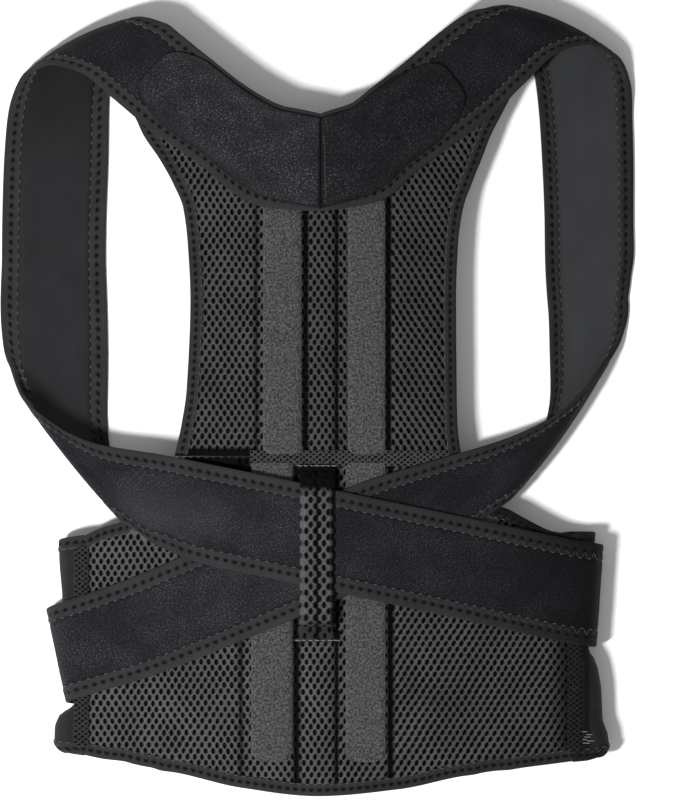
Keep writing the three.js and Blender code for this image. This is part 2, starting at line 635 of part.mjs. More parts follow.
// Half of the belt: from its seam with the waist panel round the side and along the front.
function sideWing(side, wing, fold, frontMid) {
  const inward = side === 'left' ? 1 : -1;
  const silhouette = columnsOver(wing.silhouette, 'y', ['x']);
  const seamX = wing.seam.x * braceWidth - inward * edgeGap;
  const frontEnd = (inward * wingOverlap) / 2;
  const radius = (panelMid - frontMid) / 2;
  const foldSteps = 8;
  const frontSteps = 4;
  const count = 1 + foldSteps + frontSteps;
  const place = (u, v) => {
    const step = u * count;
    const onTop = Math.min(step, 1);
    const onFold = THREE.MathUtils.clamp((step - 1) / foldSteps, 0, 1);
    const onFront = Math.max((step - 1 - foldSteps) / frontSteps, 0);
    const turned = Math.min(step / (1 + foldSteps / 2), 1);
    const topAtSide = THREE.MathUtils.lerp(wing.seam.top, wing.topAtSide, turned);
    const hemAtSide = THREE.MathUtils.lerp(wing.seam.hem, wing.hemAtSide, turned);
    const top = THREE.MathUtils.lerp(topAtSide, wingFrontTop, onFront) * braceLength;
    const hem = THREE.MathUtils.lerp(hemAtSide, wingFrontHem, onFront) * braceLength;
    const y = THREE.MathUtils.lerp(hem, top, v);
    const sideX = pressedSide(silhouette.x(y / braceLength) * braceWidth, inward, fold, y);
    const topDepth = Math.min(radius, Math.abs(seamX - sideX) - wingThickness);
    const frontDepth = (crossMid - floorMid) / 2;
    const angle = Math.PI * onFold;
    if (onFront > 0) {
      const foldEnd = sideX + inward * frontDepth;
      return new THREE.Vector3(THREE.MathUtils.lerp(foldEnd, frontEnd, onFront), y, frontMid);
    }
    const depth = angle < Math.PI / 2 ? topDepth : frontDepth;
    const foldX = sideX + inward * depth;
    const flat = THREE.MathUtils.lerp(seamX, foldX, onTop);
    const height = frontMid + radius * (1 + Math.cos(angle));
    return new THREE.Vector3(flat - inward * depth * Math.sin(angle), y, height);
  };
  const steps = shares(count);
  return cloth(`side_wing_${side}`, 'elastic', steps, shares(14), place, evenly(wingThickness));
}

// The hook-and-loop closure between the overlapping belt ends.
function hookPatch() {
  const y = ((wingFrontTop + wingFrontHem) / 2) * braceLength;
  const place = (u, v) => {
    return new THREE.Vector3((u - 0.5) * hookPatchWidth, y + (v - 0.5) * hookPatchHeight, hookPatchMid);
  };
  return cloth('hook_patch', 'hookPile', shares(4), shares(1), place, evenly(hookPatchThickness));
}

const brace = new THREE.Group();
brace.add(upperPanel(), armholeBinding('left'), armholeBinding('right'));
brace.add(lumbarPanel());
brace.add(waistTape('hem_binding', lumbarLeft, lumbarRight, lumbarHem, 1));
brace.add(waistTape('waist_binding_left', lumbarLeft, joinLeft, lumbarTop, -1));
brace.add(waistTape('waist_binding_right', joinRight, lumbarRight, lumbarTop, -1));
brace.add(stayPocket('upper_pocket_left', upperChannelCentre, -1, upperPocketFoot, upperPocketTop));
brace.add(stayPocket('upper_pocket_right', upperChannelCentre, 1, upperPocketFoot, upperPocketTop));
brace.add(stayPocket('lower_pocket_left', lumbarChannelCentre, -1, lowerPocketFoot, lowerPocketTop));
brace.add(stayPocket('lower_pocket_right', lumbarChannelCentre, 1, lowerPocketFoot, lowerPocketTop));
brace.add(keeper());
brace.add(...strap('left', leftStrapRoute), ...strap('right', rightStrapRoute));
brace.add(yokeTab('left', leftStrapRoute, leftTabReach), yokeTab('right', rightStrapRoute, rightTabReach));
brace.add(sideWing('left', leftWing, rightSideFold, leftWingMid));
brace.add(sideWing('right', rightWing, leftSideFold, rightWingMid));
brace.add(hookPatch());

// The brace is moved so that the origin is under its middle.
const extent = new THREE.Box3().setFromObject(brace);
const middle = extent.getCenter(new THREE.Vector3());
brace.position.set(-middle.x, -middle.y, -extent.min.z);

export default brace;
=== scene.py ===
"""Dresses a black back brace that lies on its front on a pale floor, seen from straight above."""
import functools
import logging
import math
from dataclasses import dataclass, field
from enum import Enum
from typing import Any, Callable, Sequence

import bpy
import numpy as np
from bpy.types import Material, Node, Object
from bpy.types import NodeSocket as Socket
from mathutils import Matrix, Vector


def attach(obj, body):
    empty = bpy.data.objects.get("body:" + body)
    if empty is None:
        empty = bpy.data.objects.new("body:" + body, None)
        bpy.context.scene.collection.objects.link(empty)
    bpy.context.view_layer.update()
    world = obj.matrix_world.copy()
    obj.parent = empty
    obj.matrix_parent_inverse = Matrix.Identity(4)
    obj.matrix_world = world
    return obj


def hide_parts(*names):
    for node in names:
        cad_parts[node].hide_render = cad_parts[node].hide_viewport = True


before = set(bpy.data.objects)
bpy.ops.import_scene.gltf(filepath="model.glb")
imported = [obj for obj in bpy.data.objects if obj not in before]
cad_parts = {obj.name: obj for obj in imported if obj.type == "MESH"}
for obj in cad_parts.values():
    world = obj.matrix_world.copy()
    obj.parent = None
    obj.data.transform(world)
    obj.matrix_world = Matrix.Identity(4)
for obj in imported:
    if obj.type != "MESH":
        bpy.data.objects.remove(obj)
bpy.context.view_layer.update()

LOG = logging.getLogger("posture_corrector")
MM = 0.001
BODY = "root"
TURN = 2 * math.pi
THREAD_SIDES = 4
SHARP_ANGLE = math.radians(50)

# Sizes of the brace as it lies, in millimetres, as the CAD model states them.
BRACE_WIDTH = 380.0
BRACE_LENGTH = 474.0
ROW_SHIFT = np.array([0.8902, -238.3557, 0.0])
STRAP_WIDTH = 63.0
STRAP_TAPE_WIDTH = 10.0
KEEPER_WIDTH = 21.0
STRAP_THICKNESS = 2.8
PANEL_THICKNESS = 4.0
PANEL_TAPE_THICKNESS = 3.2
POCKET_THICKNESS = 1.4
KEEPER_THICKNESS = 1.6
TAB_THICKNESS = 1.2
WING_THICKNESS = 2.0
HOOK_THICKNESS = 1.0
SIDE_DROOP = 4.0
EDGE_GAP = 0.3
WRAP_GAP = 2.0
PRESSED_RISE = 6.0
CROWN_BEND = 14.0
CROWN_REACH = 400.0
WING_OVERLAP = 72.0

# Heights of the middle of each layer above the floor, in millimetres.
FLOOR_MID = 1.4
LEFT_WING_MID = 4.2
HOOK_MID = 6.1
RIGHT_WING_MID = 8.0
PANEL_MID = 23.0
PANEL_TOP = 25.0
POCKET_MID = 25.1
CROSS_MID = 27.6
OVER_MID = 30.8
KEEPER_MID = 33.4
KEEPER_FOOT_MID = 26.9
SETTLE_MID = CROSS_MID + 0.8 * (OVER_MID - CROSS_MID)
FOLD_HIGH = FLOOR_MID + 0.85 * (CROSS_MID - FLOOR_MID)
FOLD_HALF = FLOOR_MID + 0.5 * (CROSS_MID - FLOOR_MID)
FOLD_LOW = FLOOR_MID + 0.15 * (CROSS_MID - FLOOR_MID)
FOLD_OVER = FLOOR_MID + 0.975 * (CROSS_MID - FLOOR_MID)

Array = np.ndarray
Place = Callable[[Array, Array], Array]


class Named(Enum):
    """An option that the CAD nodes name in small letters."""

    @property
    def word(self) -> str:
        """Returns the name as the CAD nodes write it."""
        return self.name.lower()


class Side(Named):
    """The left and right halves of the brace, by the sign of their X."""

    LEFT = -1
    RIGHT = 1


class Edge(Named):
    """A strap's two edges, by the sign of the distance across it."""

    INNER = -1
    OUTER = 1


@dataclass(frozen=True)
class Shades:
    """Painted shade on one half's cloth, where it turns away from the light or lies in shadow, from
    0 to 1.
    """

    strap_at_belt: float
    strap_at_shoulder: float
    waist_tape: float
    belt_tape: float
    belt_seam: float
    side_overlock: float


# Each half's painted shade; most of it is darker on the right, which lies away from the light.
PAINTED_SHADE = {
    Side.LEFT: Shades(0.12, 0.36, 0.0, 0.0, 0.3, 0.4),
    Side.RIGHT: Shades(0.62, 0.1, 0.45, 0.35, 0.9, 0.72),
}

# Below this height the straps turn round the belt. There painted shade darkens their cloth between
# two distances from the middle, in millimetres, and their tape between two places at the right.
BELT_HEAD = 0.42 * BRACE_LENGTH
AT_BELT = (118.0, 154.0)
TAPE_AT_BELT = (105.0, 155.0)
TURNED_TAPE_SHADE = 0.4

# The rows of a strap's route over which painted shade darkens its shoulder fold and fades again.
ONTO_SHOULDER = (3.2, 4.7)
OFF_SHOULDER = (10.2, 8.8)

# The left strap's crest under the arm, which catches light and gets a painted highlight: its middle
# and its spread across and along the brace, in millimetres, and the row of the route that it
# follows.
CREST_LIGHT = 0.12
CREST = (-93.0, 171.0)
CREST_SPREAD = (36.0, 15.0)
CREST_ROW = 15


@dataclass(frozen=True)
class CrossLine:
    """One crosswise line over a strap, with lengths as shares of the brace and the strap.

    x and y are its middle, turn its direction in degrees, wide its length, z its height in
    millimetres and bow how far its middle bulges.
    """

    x: float
    y: float
    turn: float
    wide: float
    z: float
    bow: float = 0.0


LEFT_ROUTE = tuple(CrossLine(*row) for row in (
    (0.0026, 0.803, 90, 0.93, CROSS_MID),
    (-0.073, 0.811, 74, 0.98, CROSS_MID),
    (-0.155, 0.853, 54, 0.86, CROSS_MID),
    (-0.2194, 0.8906, 52, 0.887, CROSS_MID),
    (-0.2685, 0.9231, 45, 0.882, CROSS_MID, 0.02),
    (-0.309, 0.948, 31, 0.92, CROSS_MID, 0.04),
    (-0.35, 0.956, 26, 1.02, FOLD_HIGH, 0.06),
    (-0.383, 0.947, 27, 1.09, FOLD_HALF, 0.07),
    (-0.402, 0.916, 24, 1.09, FOLD_LOW, 0.02),
    (-0.413, 0.864, 20, 1.05, FLOOR_MID),
    (-0.416, 0.794, 11, 1.02, FLOOR_MID),
    (-0.419, 0.686, 0, 0.99, FLOOR_MID),
    (-0.417, 0.531, -34, 1.2, FLOOR_MID),
    (-0.406, 0.48, -45, 1.39, FOLD_LOW),
    (-0.396, 0.441, -51, 1.49, FOLD_HALF, 0.03),
    (-0.377, 0.421, -51.5, 1.41, FOLD_OVER, 0.02),
    (-0.347, 0.403, -53, 1.25, CROSS_MID),
    (-0.306, 0.385, -60, 1.1, CROSS_MID),
    (-0.256, 0.375, -72.5, 1, SETTLE_MID),
    (-0.198, 0.363, -87, 0.97, OVER_MID),
    (-0.009, 0.331, -99, 0.95, OVER_MID),
    (0.233, 0.29, -100, 0.96, OVER_MID),
    (0.34, 0.271, -97, 0.97, CROSS_MID),
    (0.407, 0.26, -94, 0.98, CROSS_MID),
    (0.434, 0.257, -94, 0.98, FOLD_HIGH),
    (0.441, 0.2555, -94, 0.98, FOLD_HALF),
    (0.434, 0.2555, -94, 0.98, FOLD_LOW),
    (0.404, 0.2575, -94, 0.97, FLOOR_MID),
    (0.313, 0.262, -93, 0.96, FLOOR_MID),
    (0.187, 0.262, -93, 0.96, FLOOR_MID),
))
RIGHT_ROUTE = tuple(CrossLine(*row) for row in (
    (0.0034, 0.803, 90, 0.93, CROSS_MID),
    (0.075, 0.8164, 108, 0.966, CROSS_MID),
    (0.116, 0.8426, 120.7, 0.9, CROSS_MID),
    (0.162, 0.87, 127, 0.9, CROSS_MID),
    (0.225, 0.91, 128, 0.93, CROSS_MID),
    (0.2733, 0.9439, 131.7, 0.876, CROSS_MID, 0.02),
    (0.3149, 0.9681, 148.1, 0.82, CROSS_MID, 0.04),
    (0.3537, 0.9756, 157, 0.94, FOLD_HIGH, 0.06),
    (0.3937, 0.9643, 154.6, 1.094, FOLD_HALF, 0.07),
    (0.411, 0.932, 157, 1.08, FOLD_LOW, 0.02),
    (0.42, 0.881, 159, 0.99, FLOOR_MID),
    (0.425, 0.816, 166, 0.91, FLOOR_MID),
    (0.428, 0.715, 178, 0.85, FLOOR_MID),
    (0.429, 0.64, 204, 0.87, FLOOR_MID),
    (0.428, 0.566, 231, 1.19, FLOOR_MID),
    (0.409, 0.506, 235, 1.52, FOLD_LOW, 0.01),
    (0.38, 0.469, 235, 1.6, FOLD_HALF, 0.06),
    (0.357, 0.447, 234, 1.42, FOLD_HIGH, 0.04),
    (0.325, 0.424, 235, 1.21, CROSS_MID),
    (0.277, 0.401, 242, 1.03, CROSS_MID),
    (0.223, 0.382, 257, 0.9, CROSS_MID),
    (0.164, 0.363, 271, 0.89, CROSS_MID),
    (0.101, 0.343, 283, 0.93, CROSS_MID),
    (-0.081, 0.282, 290, 0.97, CROSS_MID),
    (-0.29, 0.213, 288, 0.94, CROSS_MID),
    (-0.376, 0.191, 283, 0.92, CROSS_MID),
    (-0.403, 0.184, 282, 0.92, FOLD_HIGH),
    (-0.411, 0.18, 282, 0.92, FOLD_HALF),
    (-0.403, 0.178, 282, 0.92, FOLD_LOW),
    (-0.38, 0.176, 282, 0.92, FLOOR_MID),
    (-0.283, 0.17, 281, 0.93, FLOOR_MID),
    (-0.174, 0.165, 279, 0.93, FLOOR_MID),
))

# The upper panel's armhole edges: height, left edge and right edge. Its hidden top dips.
JOIN_HEIGHT = 0.432
UPPER_TOP_DIP = 0.066
UPPER_OUTLINE = (
    (JOIN_HEIGHT, -0.227, 0.225),
    (0.472, -0.216, 0.219),
    (0.516, -0.208, 0.218),
    (0.63, -0.202, 0.217),
    (0.699, -0.206, 0.22),
    (0.745, -0.213, 0.228),
    (0.775, -0.228, 0.241),
    (0.807, -0.25, 0.257),
    (0.838, -0.276, 0.272),
    (0.857, -0.287, 0.284),
    (0.886, -0.305, 0.303),
)

# The waist panel from its left side seam to its right one: place across, upper edge and hem.
LUMBAR_OUTLINE = (
    (-0.369, 0.332, 0.054),
    (-0.339, 0.343, 0.049),
    (-0.307, 0.35, 0.046),
    (-0.293, 0.356, 0.043),
    (-0.277, 0.357, 0.04),
    (-0.263, 0.37, 0.038),
    (-0.246, 0.398, 0.034),
    (-0.227, JOIN_HEIGHT, 0.032),
    (-0.124, JOIN_HEIGHT, 0.013),
    (-0.001, JOIN_HEIGHT, 0.002),
    (0.129, JOIN_HEIGHT, 0.011),
    (0.225, JOIN_HEIGHT, 0.027),
    (0.244, 0.394, 0.029),
    (0.261, 0.377, 0.032),
    (0.28, 0.3705, 0.034),
    (0.299, 0.3655, 0.035),
    (0.323, 0.355, 0.038),
    (0.372, 0.337, 0.043),
    (0.4, 0.334, 0.046),
)

# The belt's two sides: height and place across.
LEFT_SILHOUETTE = (
    (0.058, -0.398),
    (0.064, -0.41),
    (0.071, -0.4145),
    (0.088, -0.414),
    (0.1, -0.409),
    (0.12, -0.396),
    (0.253, -0.402),
    (0.31, -0.407),
    (0.33, -0.406),
)
RIGHT_SILHOUETTE = (
    (0.052, 0.443),
    (0.058, 0.452),
    (0.066, 0.456),
    (0.08, 0.454),
    (0.1, 0.446),
    (0.136, 0.444),
    (0.161, 0.439),
    (0.185, 0.43),
    (0.25, 0.425),
    (0.34, 0.434),
)
WING_FRONT_TOP = 0.29
WING_FRONT_HEM = 0.1
UPPER_CHANNEL_CENTRE = 0.0055 * BRACE_WIDTH
LUMBAR_CHANNEL_CENTRE = -0.004 * BRACE_WIDTH
TAB_ROUND = 0.26


class Curve:
    """A line through the rows of a table that passes each row and never swings past it."""

    def __init__(self, knots: Sequence[float], values: Sequence[float]) -> None:
        """Works out the line's slope at each row.

        Args:
            knots: where the rows are.
            values: what the line passes there.
        """
        self.knots = np.asarray(knots, float)
        self.values = np.asarray(values, float)
        secants = np.diff(self.values) / np.diff(self.knots)
        before = np.concatenate([secants[:1], secants])
        after = np.concatenate([secants, secants[-1:]])
        alike = before * after > 0
        total = np.where(alike, before + after, 1.0)
        self.slopes = np.where(alike, 2 * before * after / total, 0.0)

    def __call__(self, at: Array) -> Array:
        """Reads the line.

        Args:
            at: places along the knots.

        Returns:
            The line's value at each place.
        """
        at = np.asarray(at, float)
        i = np.clip(np.searchsorted(self.knots, at, side="right") - 1, 0, len(self.knots) - 2)
        span = self.knots[i + 1] - self.knots[i]
        t = np.clip((at - self.knots[i]) / span, 0, 1)
        rise = self.values[i + 1] - self.values[i]
        bend = (1 - t) * self.slopes[i] * span - t * self.slopes[i + 1] * span - (1 - 2 * t) * rise
        return self.values[i] + rise * t + t * (1 - t) * bend


def columns(rows: Sequence[Sequence[float]]) -> list[Curve]:
    """Makes one curve of each further column of a table, over its first column.

    Args:
        rows: the table's rows.

    Returns:
        The curves, in the columns' order.
    """
    table = np.array(rows, float)
    return [Curve(table[:, 0], table[:, i]) for i in range(1, table.shape[1])]


def lerp(start: Array, end: Array, share: Array) -> Array:
    """Returns the value that lies a share of the way from start to end."""
    return start + (end - start) * share


def ramp(value: Array, start: float, end: float) -> Array:
    """Returns 0 before start, 1 past end and an even rise between them."""
    return np.clip((value - start) / (end - start), 0, 1)


def bell(off: Array, spread: float) -> Array:
    """Returns 1 where off is 0, falling on both sides over about the spread."""
    return np.exp(-((off / spread) ** 2))


def past_step(value: Array, step: float) -> Array:
    """Returns how far a value lies past the nearest whole number of steps."""
    return value - step * np.round(value / step)


def even(height: float) -> Place:
    """Returns a function of two coordinates that gives one height everywhere."""
    return lambda u, v: np.full(np.broadcast(u, v).shape, height)


def droop(points: Array) -> Array:
    """Lowers the brace's sides in a gentle arch and moves the points into the part's frame.

    Args:
        points: points in millimetres from the brace's hem and centre line.

    Returns:
        The points in millimetres in the part's frame.
    """
    outward = np.minimum(np.abs(points[..., 0]) / (BRACE_WIDTH / 2), 1)
    lowered = points.copy()
    lowered[..., 2] -= SIDE_DROOP * outward**2 * points[..., 2] / PANEL_TOP
    return lowered + ROW_SHIFT


def normals(place: Place, u: Array, v: Array, small: float) -> Array:
    """Finds the directions square to a surface.

    Args:
        place: the surface, as points for two coordinates.
        u: first coordinates.
        v: second coordinates.
        small: half the step that the slopes are taken over.

    Returns:
        Unit vectors, one for each point.
    """
    across = place(u + small, v) - place(u - small, v)
    along = place(u, v + small) - place(u, v - small)
    square = np.cross(across, along)
    return square / np.maximum(np.linalg.norm(square, axis=-1, keepdims=True), 1e-12)


def wavy(x: Array, y: Array, length: float, phase: float = 0.0) -> Array:
    """Gives an even, slightly irregular unevenness.

    Args:
        x: first coordinates, in millimetres.
        y: second coordinates, in millimetres.
        length: the length of the longest wave.
        phase: where the waves start.

    Returns:
        Values from about -1 to 1.
    """
    k = TURN / length
    first = np.sin(k * x + 1.7 * np.sin(0.61 * k * y + phase) + phase)
    second = np.sin(1.37 * k * y + 1.3 * np.sin(0.83 * k * x - phase))
    third = np.sin(2.3 * k * (x + y) + 2.1 * phase)
    return 0.45 * first + 0.35 * second + 0.2 * third


@dataclass
class Shell:
    """The points, faces and coordinates of a closed sheet of cloth, before it is a mesh."""

    points: Array
    faces: list[tuple[int, ...]]
    cloth_map: Array
    slots: list[int]
    # Per point, how far the finishes darken it: toward 1 in holes and dimples and for painted
    # shade, below 0 for a painted highlight.
    depth: Array | None = None

    def piece(self, name: str, *finishes: "Cloth") -> Object:
        """Makes the mesh object.

        Args:
            name: the object's name.
            finishes: the finishes of the material slots, in their order.

        Returns:
            The object, linked to the scene.
        """
        mesh = bpy.data.meshes.new(name)
        mesh.from_pydata((self.points * MM).tolist(), [], self.faces)
        for finish in finishes:
            mesh.materials.append(material(finish))
        mesh.polygons.foreach_set("material_index", self.slots)
        corners = np.empty(len(mesh.loops), np.int32)
        mesh.loops.foreach_get("vertex_index", corners)
        layer = mesh.uv_layers.new(name="cloth")
        layer.data.foreach_set("uv", (self.cloth_map[corners] * MM).astype(np.float32).ravel())
        if self.depth is not None:
            attribute = mesh.attributes.new("depth", "FLOAT", "POINT")
            attribute.data.foreach_set("value", self.depth.astype(np.float32))
        mesh.validate()
        mesh.shade_smooth()
        mesh.set_sharp_from_angle(angle=SHARP_ANGLE)
        made = bpy.data.objects.new(name, mesh)
        bpy.context.scene.collection.objects.link(made)
        return made


def join_shells(shells: Sequence[Shell]) -> Shell:
    """Puts several shells into one.

    Args:
        shells: the shells, which share their materials.

    Returns:
        One shell with all their points and faces.
    """
    start = 0
    faces: list[tuple[int, ...]] = []
    for shell in shells:
        faces.extend(tuple(i + start for i in face) for face in shell.faces)
        start += len(shell.points)
    points = np.concatenate([shell.points for shell in shells])
    cloth_map = np.concatenate([shell.cloth_map for shell in shells])
    return Shell(points, faces, cloth_map, [slot for shell in shells for slot in shell.slots])


def woven_shell(
    place: Place,
    us: Array,
    vs: Array,
    small: float,
    over: Place,
    under: Place | None = None,
    slots: tuple[int, int] = (0, 0),
) -> Shell:
    """Makes a closed sheet round a surface.

    Args:
        place: the sheet's middle surface.
        us: steps of the first coordinate.
        vs: steps of the second coordinate.
        small: half the step that normals are taken over.
        over: how far the face on the normal's side lies from the surface, in millimetres.
        under: how far the other face lies from it, where that differs.
        slots: the material slots of the first face and the edges, and of the other face.

    Returns:
        The sheet.
    """
    u, v = np.meshgrid(us, vs, indexing="ij")
    middle = place(u, v)
    out = normals(place, u, v, small)
    upper = middle + out * over(u, v)[..., None]
    lower = middle - out * (under or over)(u, v)[..., None]
    rows, length = u.shape
    points = np.concatenate([upper.reshape(-1, 3), lower.reshape(-1, 3)])
    shift = rows * length
    corner = (np.arange(rows - 1)[:, None] * length + np.arange(length - 1)[None, :]).ravel()
    top = np.stack([corner, corner + length, corner + length + 1, corner + 1], 1)
    bottom = np.stack([corner, corner + 1, corner + length + 1, corner + length], 1) + shift
    near = np.arange(rows - 1) * length
    far = near + length - 1
    left = np.stack([near, near + shift, near + shift + length, near + length], 1)
    right = np.stack([far, far + length, far + shift + length, far + shift], 1)
    j = np.arange(length - 1)
    last = (rows - 1) * length + j
    first_end = np.stack([j, j + 1, j + 1 + shift, j + shift], 1)
    last_end = np.stack([last, last + shift, last + shift + 1, last + 1], 1)
    parts = [top, bottom, left, right, first_end, last_end]
    faces = [tuple(face) for face in np.concatenate(parts).tolist()]
    numbers = [slots[0]] * len(top) + [slots[1]] * len(bottom)
    numbers += [slots[0]] * (len(faces) - len(numbers))
    steps = np.linalg.norm(np.diff(middle, axis=0), axis=-1)
    along = np.concatenate([np.zeros((1, length)), steps]).cumsum(0)
    along = np.broadcast_to(along.mean(1, keepdims=True), u.shape)
    steps = np.linalg.norm(np.diff(middle, axis=1), axis=-1)
    crosswise = np.concatenate([np.zeros((rows, 1)), steps], 1).cumsum(1)
    flat = np.stack([crosswise - crosswise.mean(1, keepdims=True), along], -1).reshape(-1, 2)
    return Shell(points, faces, np.concatenate([flat, flat]), numbers)


def threads(paths: Array, outs: Array, radius: float, slot: int = 0) -> Shell:
    """Makes a short closed tube along each path, such as a stitch.

    Args:
        paths: points of each path, as paths by points by 3, in millimetres.
        outs: the direction away from the cloth at each point.
        radius: the thread's radius in millimetres.
        slot: its material slot.

    Returns:
        All the tubes in one shell.
    """
    sides = THREAD_SIDES
    count, length = paths.shape[:2]
    run = np.gradient(paths, axis=1)
    run /= np.maximum(np.linalg.norm(run, axis=-1, keepdims=True), 1e-9)
    crosswise = np.cross(run, outs)
    crosswise /= np.maximum(np.linalg.norm(crosswise, axis=-1, keepdims=True), 1e-9)
    upward = np.cross(crosswise, run)
    turn = TURN * np.arange(sides) / sides
    ring = np.cos(turn)[:, None] * upward[:, :, None, :]
    ring = ring + np.sin(turn)[:, None] * crosswise[:, :, None, :]
    points = (paths[:, :, None, :] + radius * ring).reshape(-1, 3)
    faces: list[tuple[int, ...]] = []
    for i in range(count):
        base = i * length * sides
        for j in range(length - 1):
            near = base + j * sides
            for k in range(sides):
                after = (k + 1) % sides
                faces.append((near + k, near + sides + k, near + sides + after, near + after))
        end = base + (length - 1) * sides
        faces.append(tuple(base + k for k in range(sides)))
        faces.append(tuple(end + k for k in reversed(range(sides))))
    steps = np.broadcast_to(np.arange(length)[None, :, None], (count, length, sides)).reshape(-1)
    spin = np.broadcast_to(np.arange(sides)[None, None, :], (count, length, sides)).reshape(-1)
    return Shell(points, faces, np.stack([spin, steps], 1).astype(float), [slot] * len(faces))


def operator(operation: str, swapped: bool = False) -> Callable[["Signal", Any], "Signal"]:
    """Gives an arithmetic method for Signal.

    Args:
        operation: the Math node's operation.
        swapped: whether the other value comes first.

    Returns:
        The method.
    """

    def method(self: "Signal", other: "Signal | float") -> "Signal":
        """Returns the operation's result for the two values."""
        first, second = (other, self) if swapped else (self, other)
        return self.worked(operation, first, second)

    return method


class Signal:
    """A number that varies over a surface, held as the output socket of a shader node."""

    def __init__(self, paint: "Paint", socket: Socket) -> None:
        """Keeps the socket and the paint whose tree it is in."""
        self.paint = paint
        self.socket = socket

    def worked(self, operation: str, first: "Signal | float", second: "Signal | float") -> "Signal":
        """Returns the result of a Math node on two values."""
        return self.paint.number("ShaderNodeMath", {"operation": operation}, {0: first, 1: second})

    __add__ = operator("ADD")
    __radd__ = operator("ADD", swapped=True)
    __sub__ = operator("SUBTRACT")
    __rsub__ = operator("SUBTRACT", swapped=True)
    __mul__ = operator("MULTIPLY")
    __rmul__ = operator("MULTIPLY", swapped=True)

    def sine(self) -> "Signal":
        """Returns the sine of the value."""
        return self.worked("SINE", self, 0.0)

    def root(self) -> "Signal":
        """Returns the square root of the value."""
        return self.worked("SQRT", self, 0.0)

    def wave(self, size: float = 0.5) -> "Signal":
        """Returns waves about 0.5, one for each full turn of the value."""
        return self.sine() * size + 0.5

    def ramp(self, low: float = 0.3, high: float = 0.7) -> "Signal":
        """Returns 0 below low, 1 above high and an even rise between; the defaults suit a noise."""
        sockets = {"Value": self, "From Min": low, "From Max": high}
        return self.paint.number("ShaderNodeMapRange", {"clamp": True}, sockets)


Value = Signal | Socket | float | tuple[float, ...]
Colour = tuple[float, float, float]
Settings = dict[str, object]
Sockets = dict[int | str, Value]


def opaque(colour: Colour, brightness: float = 1.0) -> tuple[float, float, float, float]:
    """Returns a colour for a socket, made brighter or darker."""
    return tuple(part * brightness for part in colour) + (1.0,)


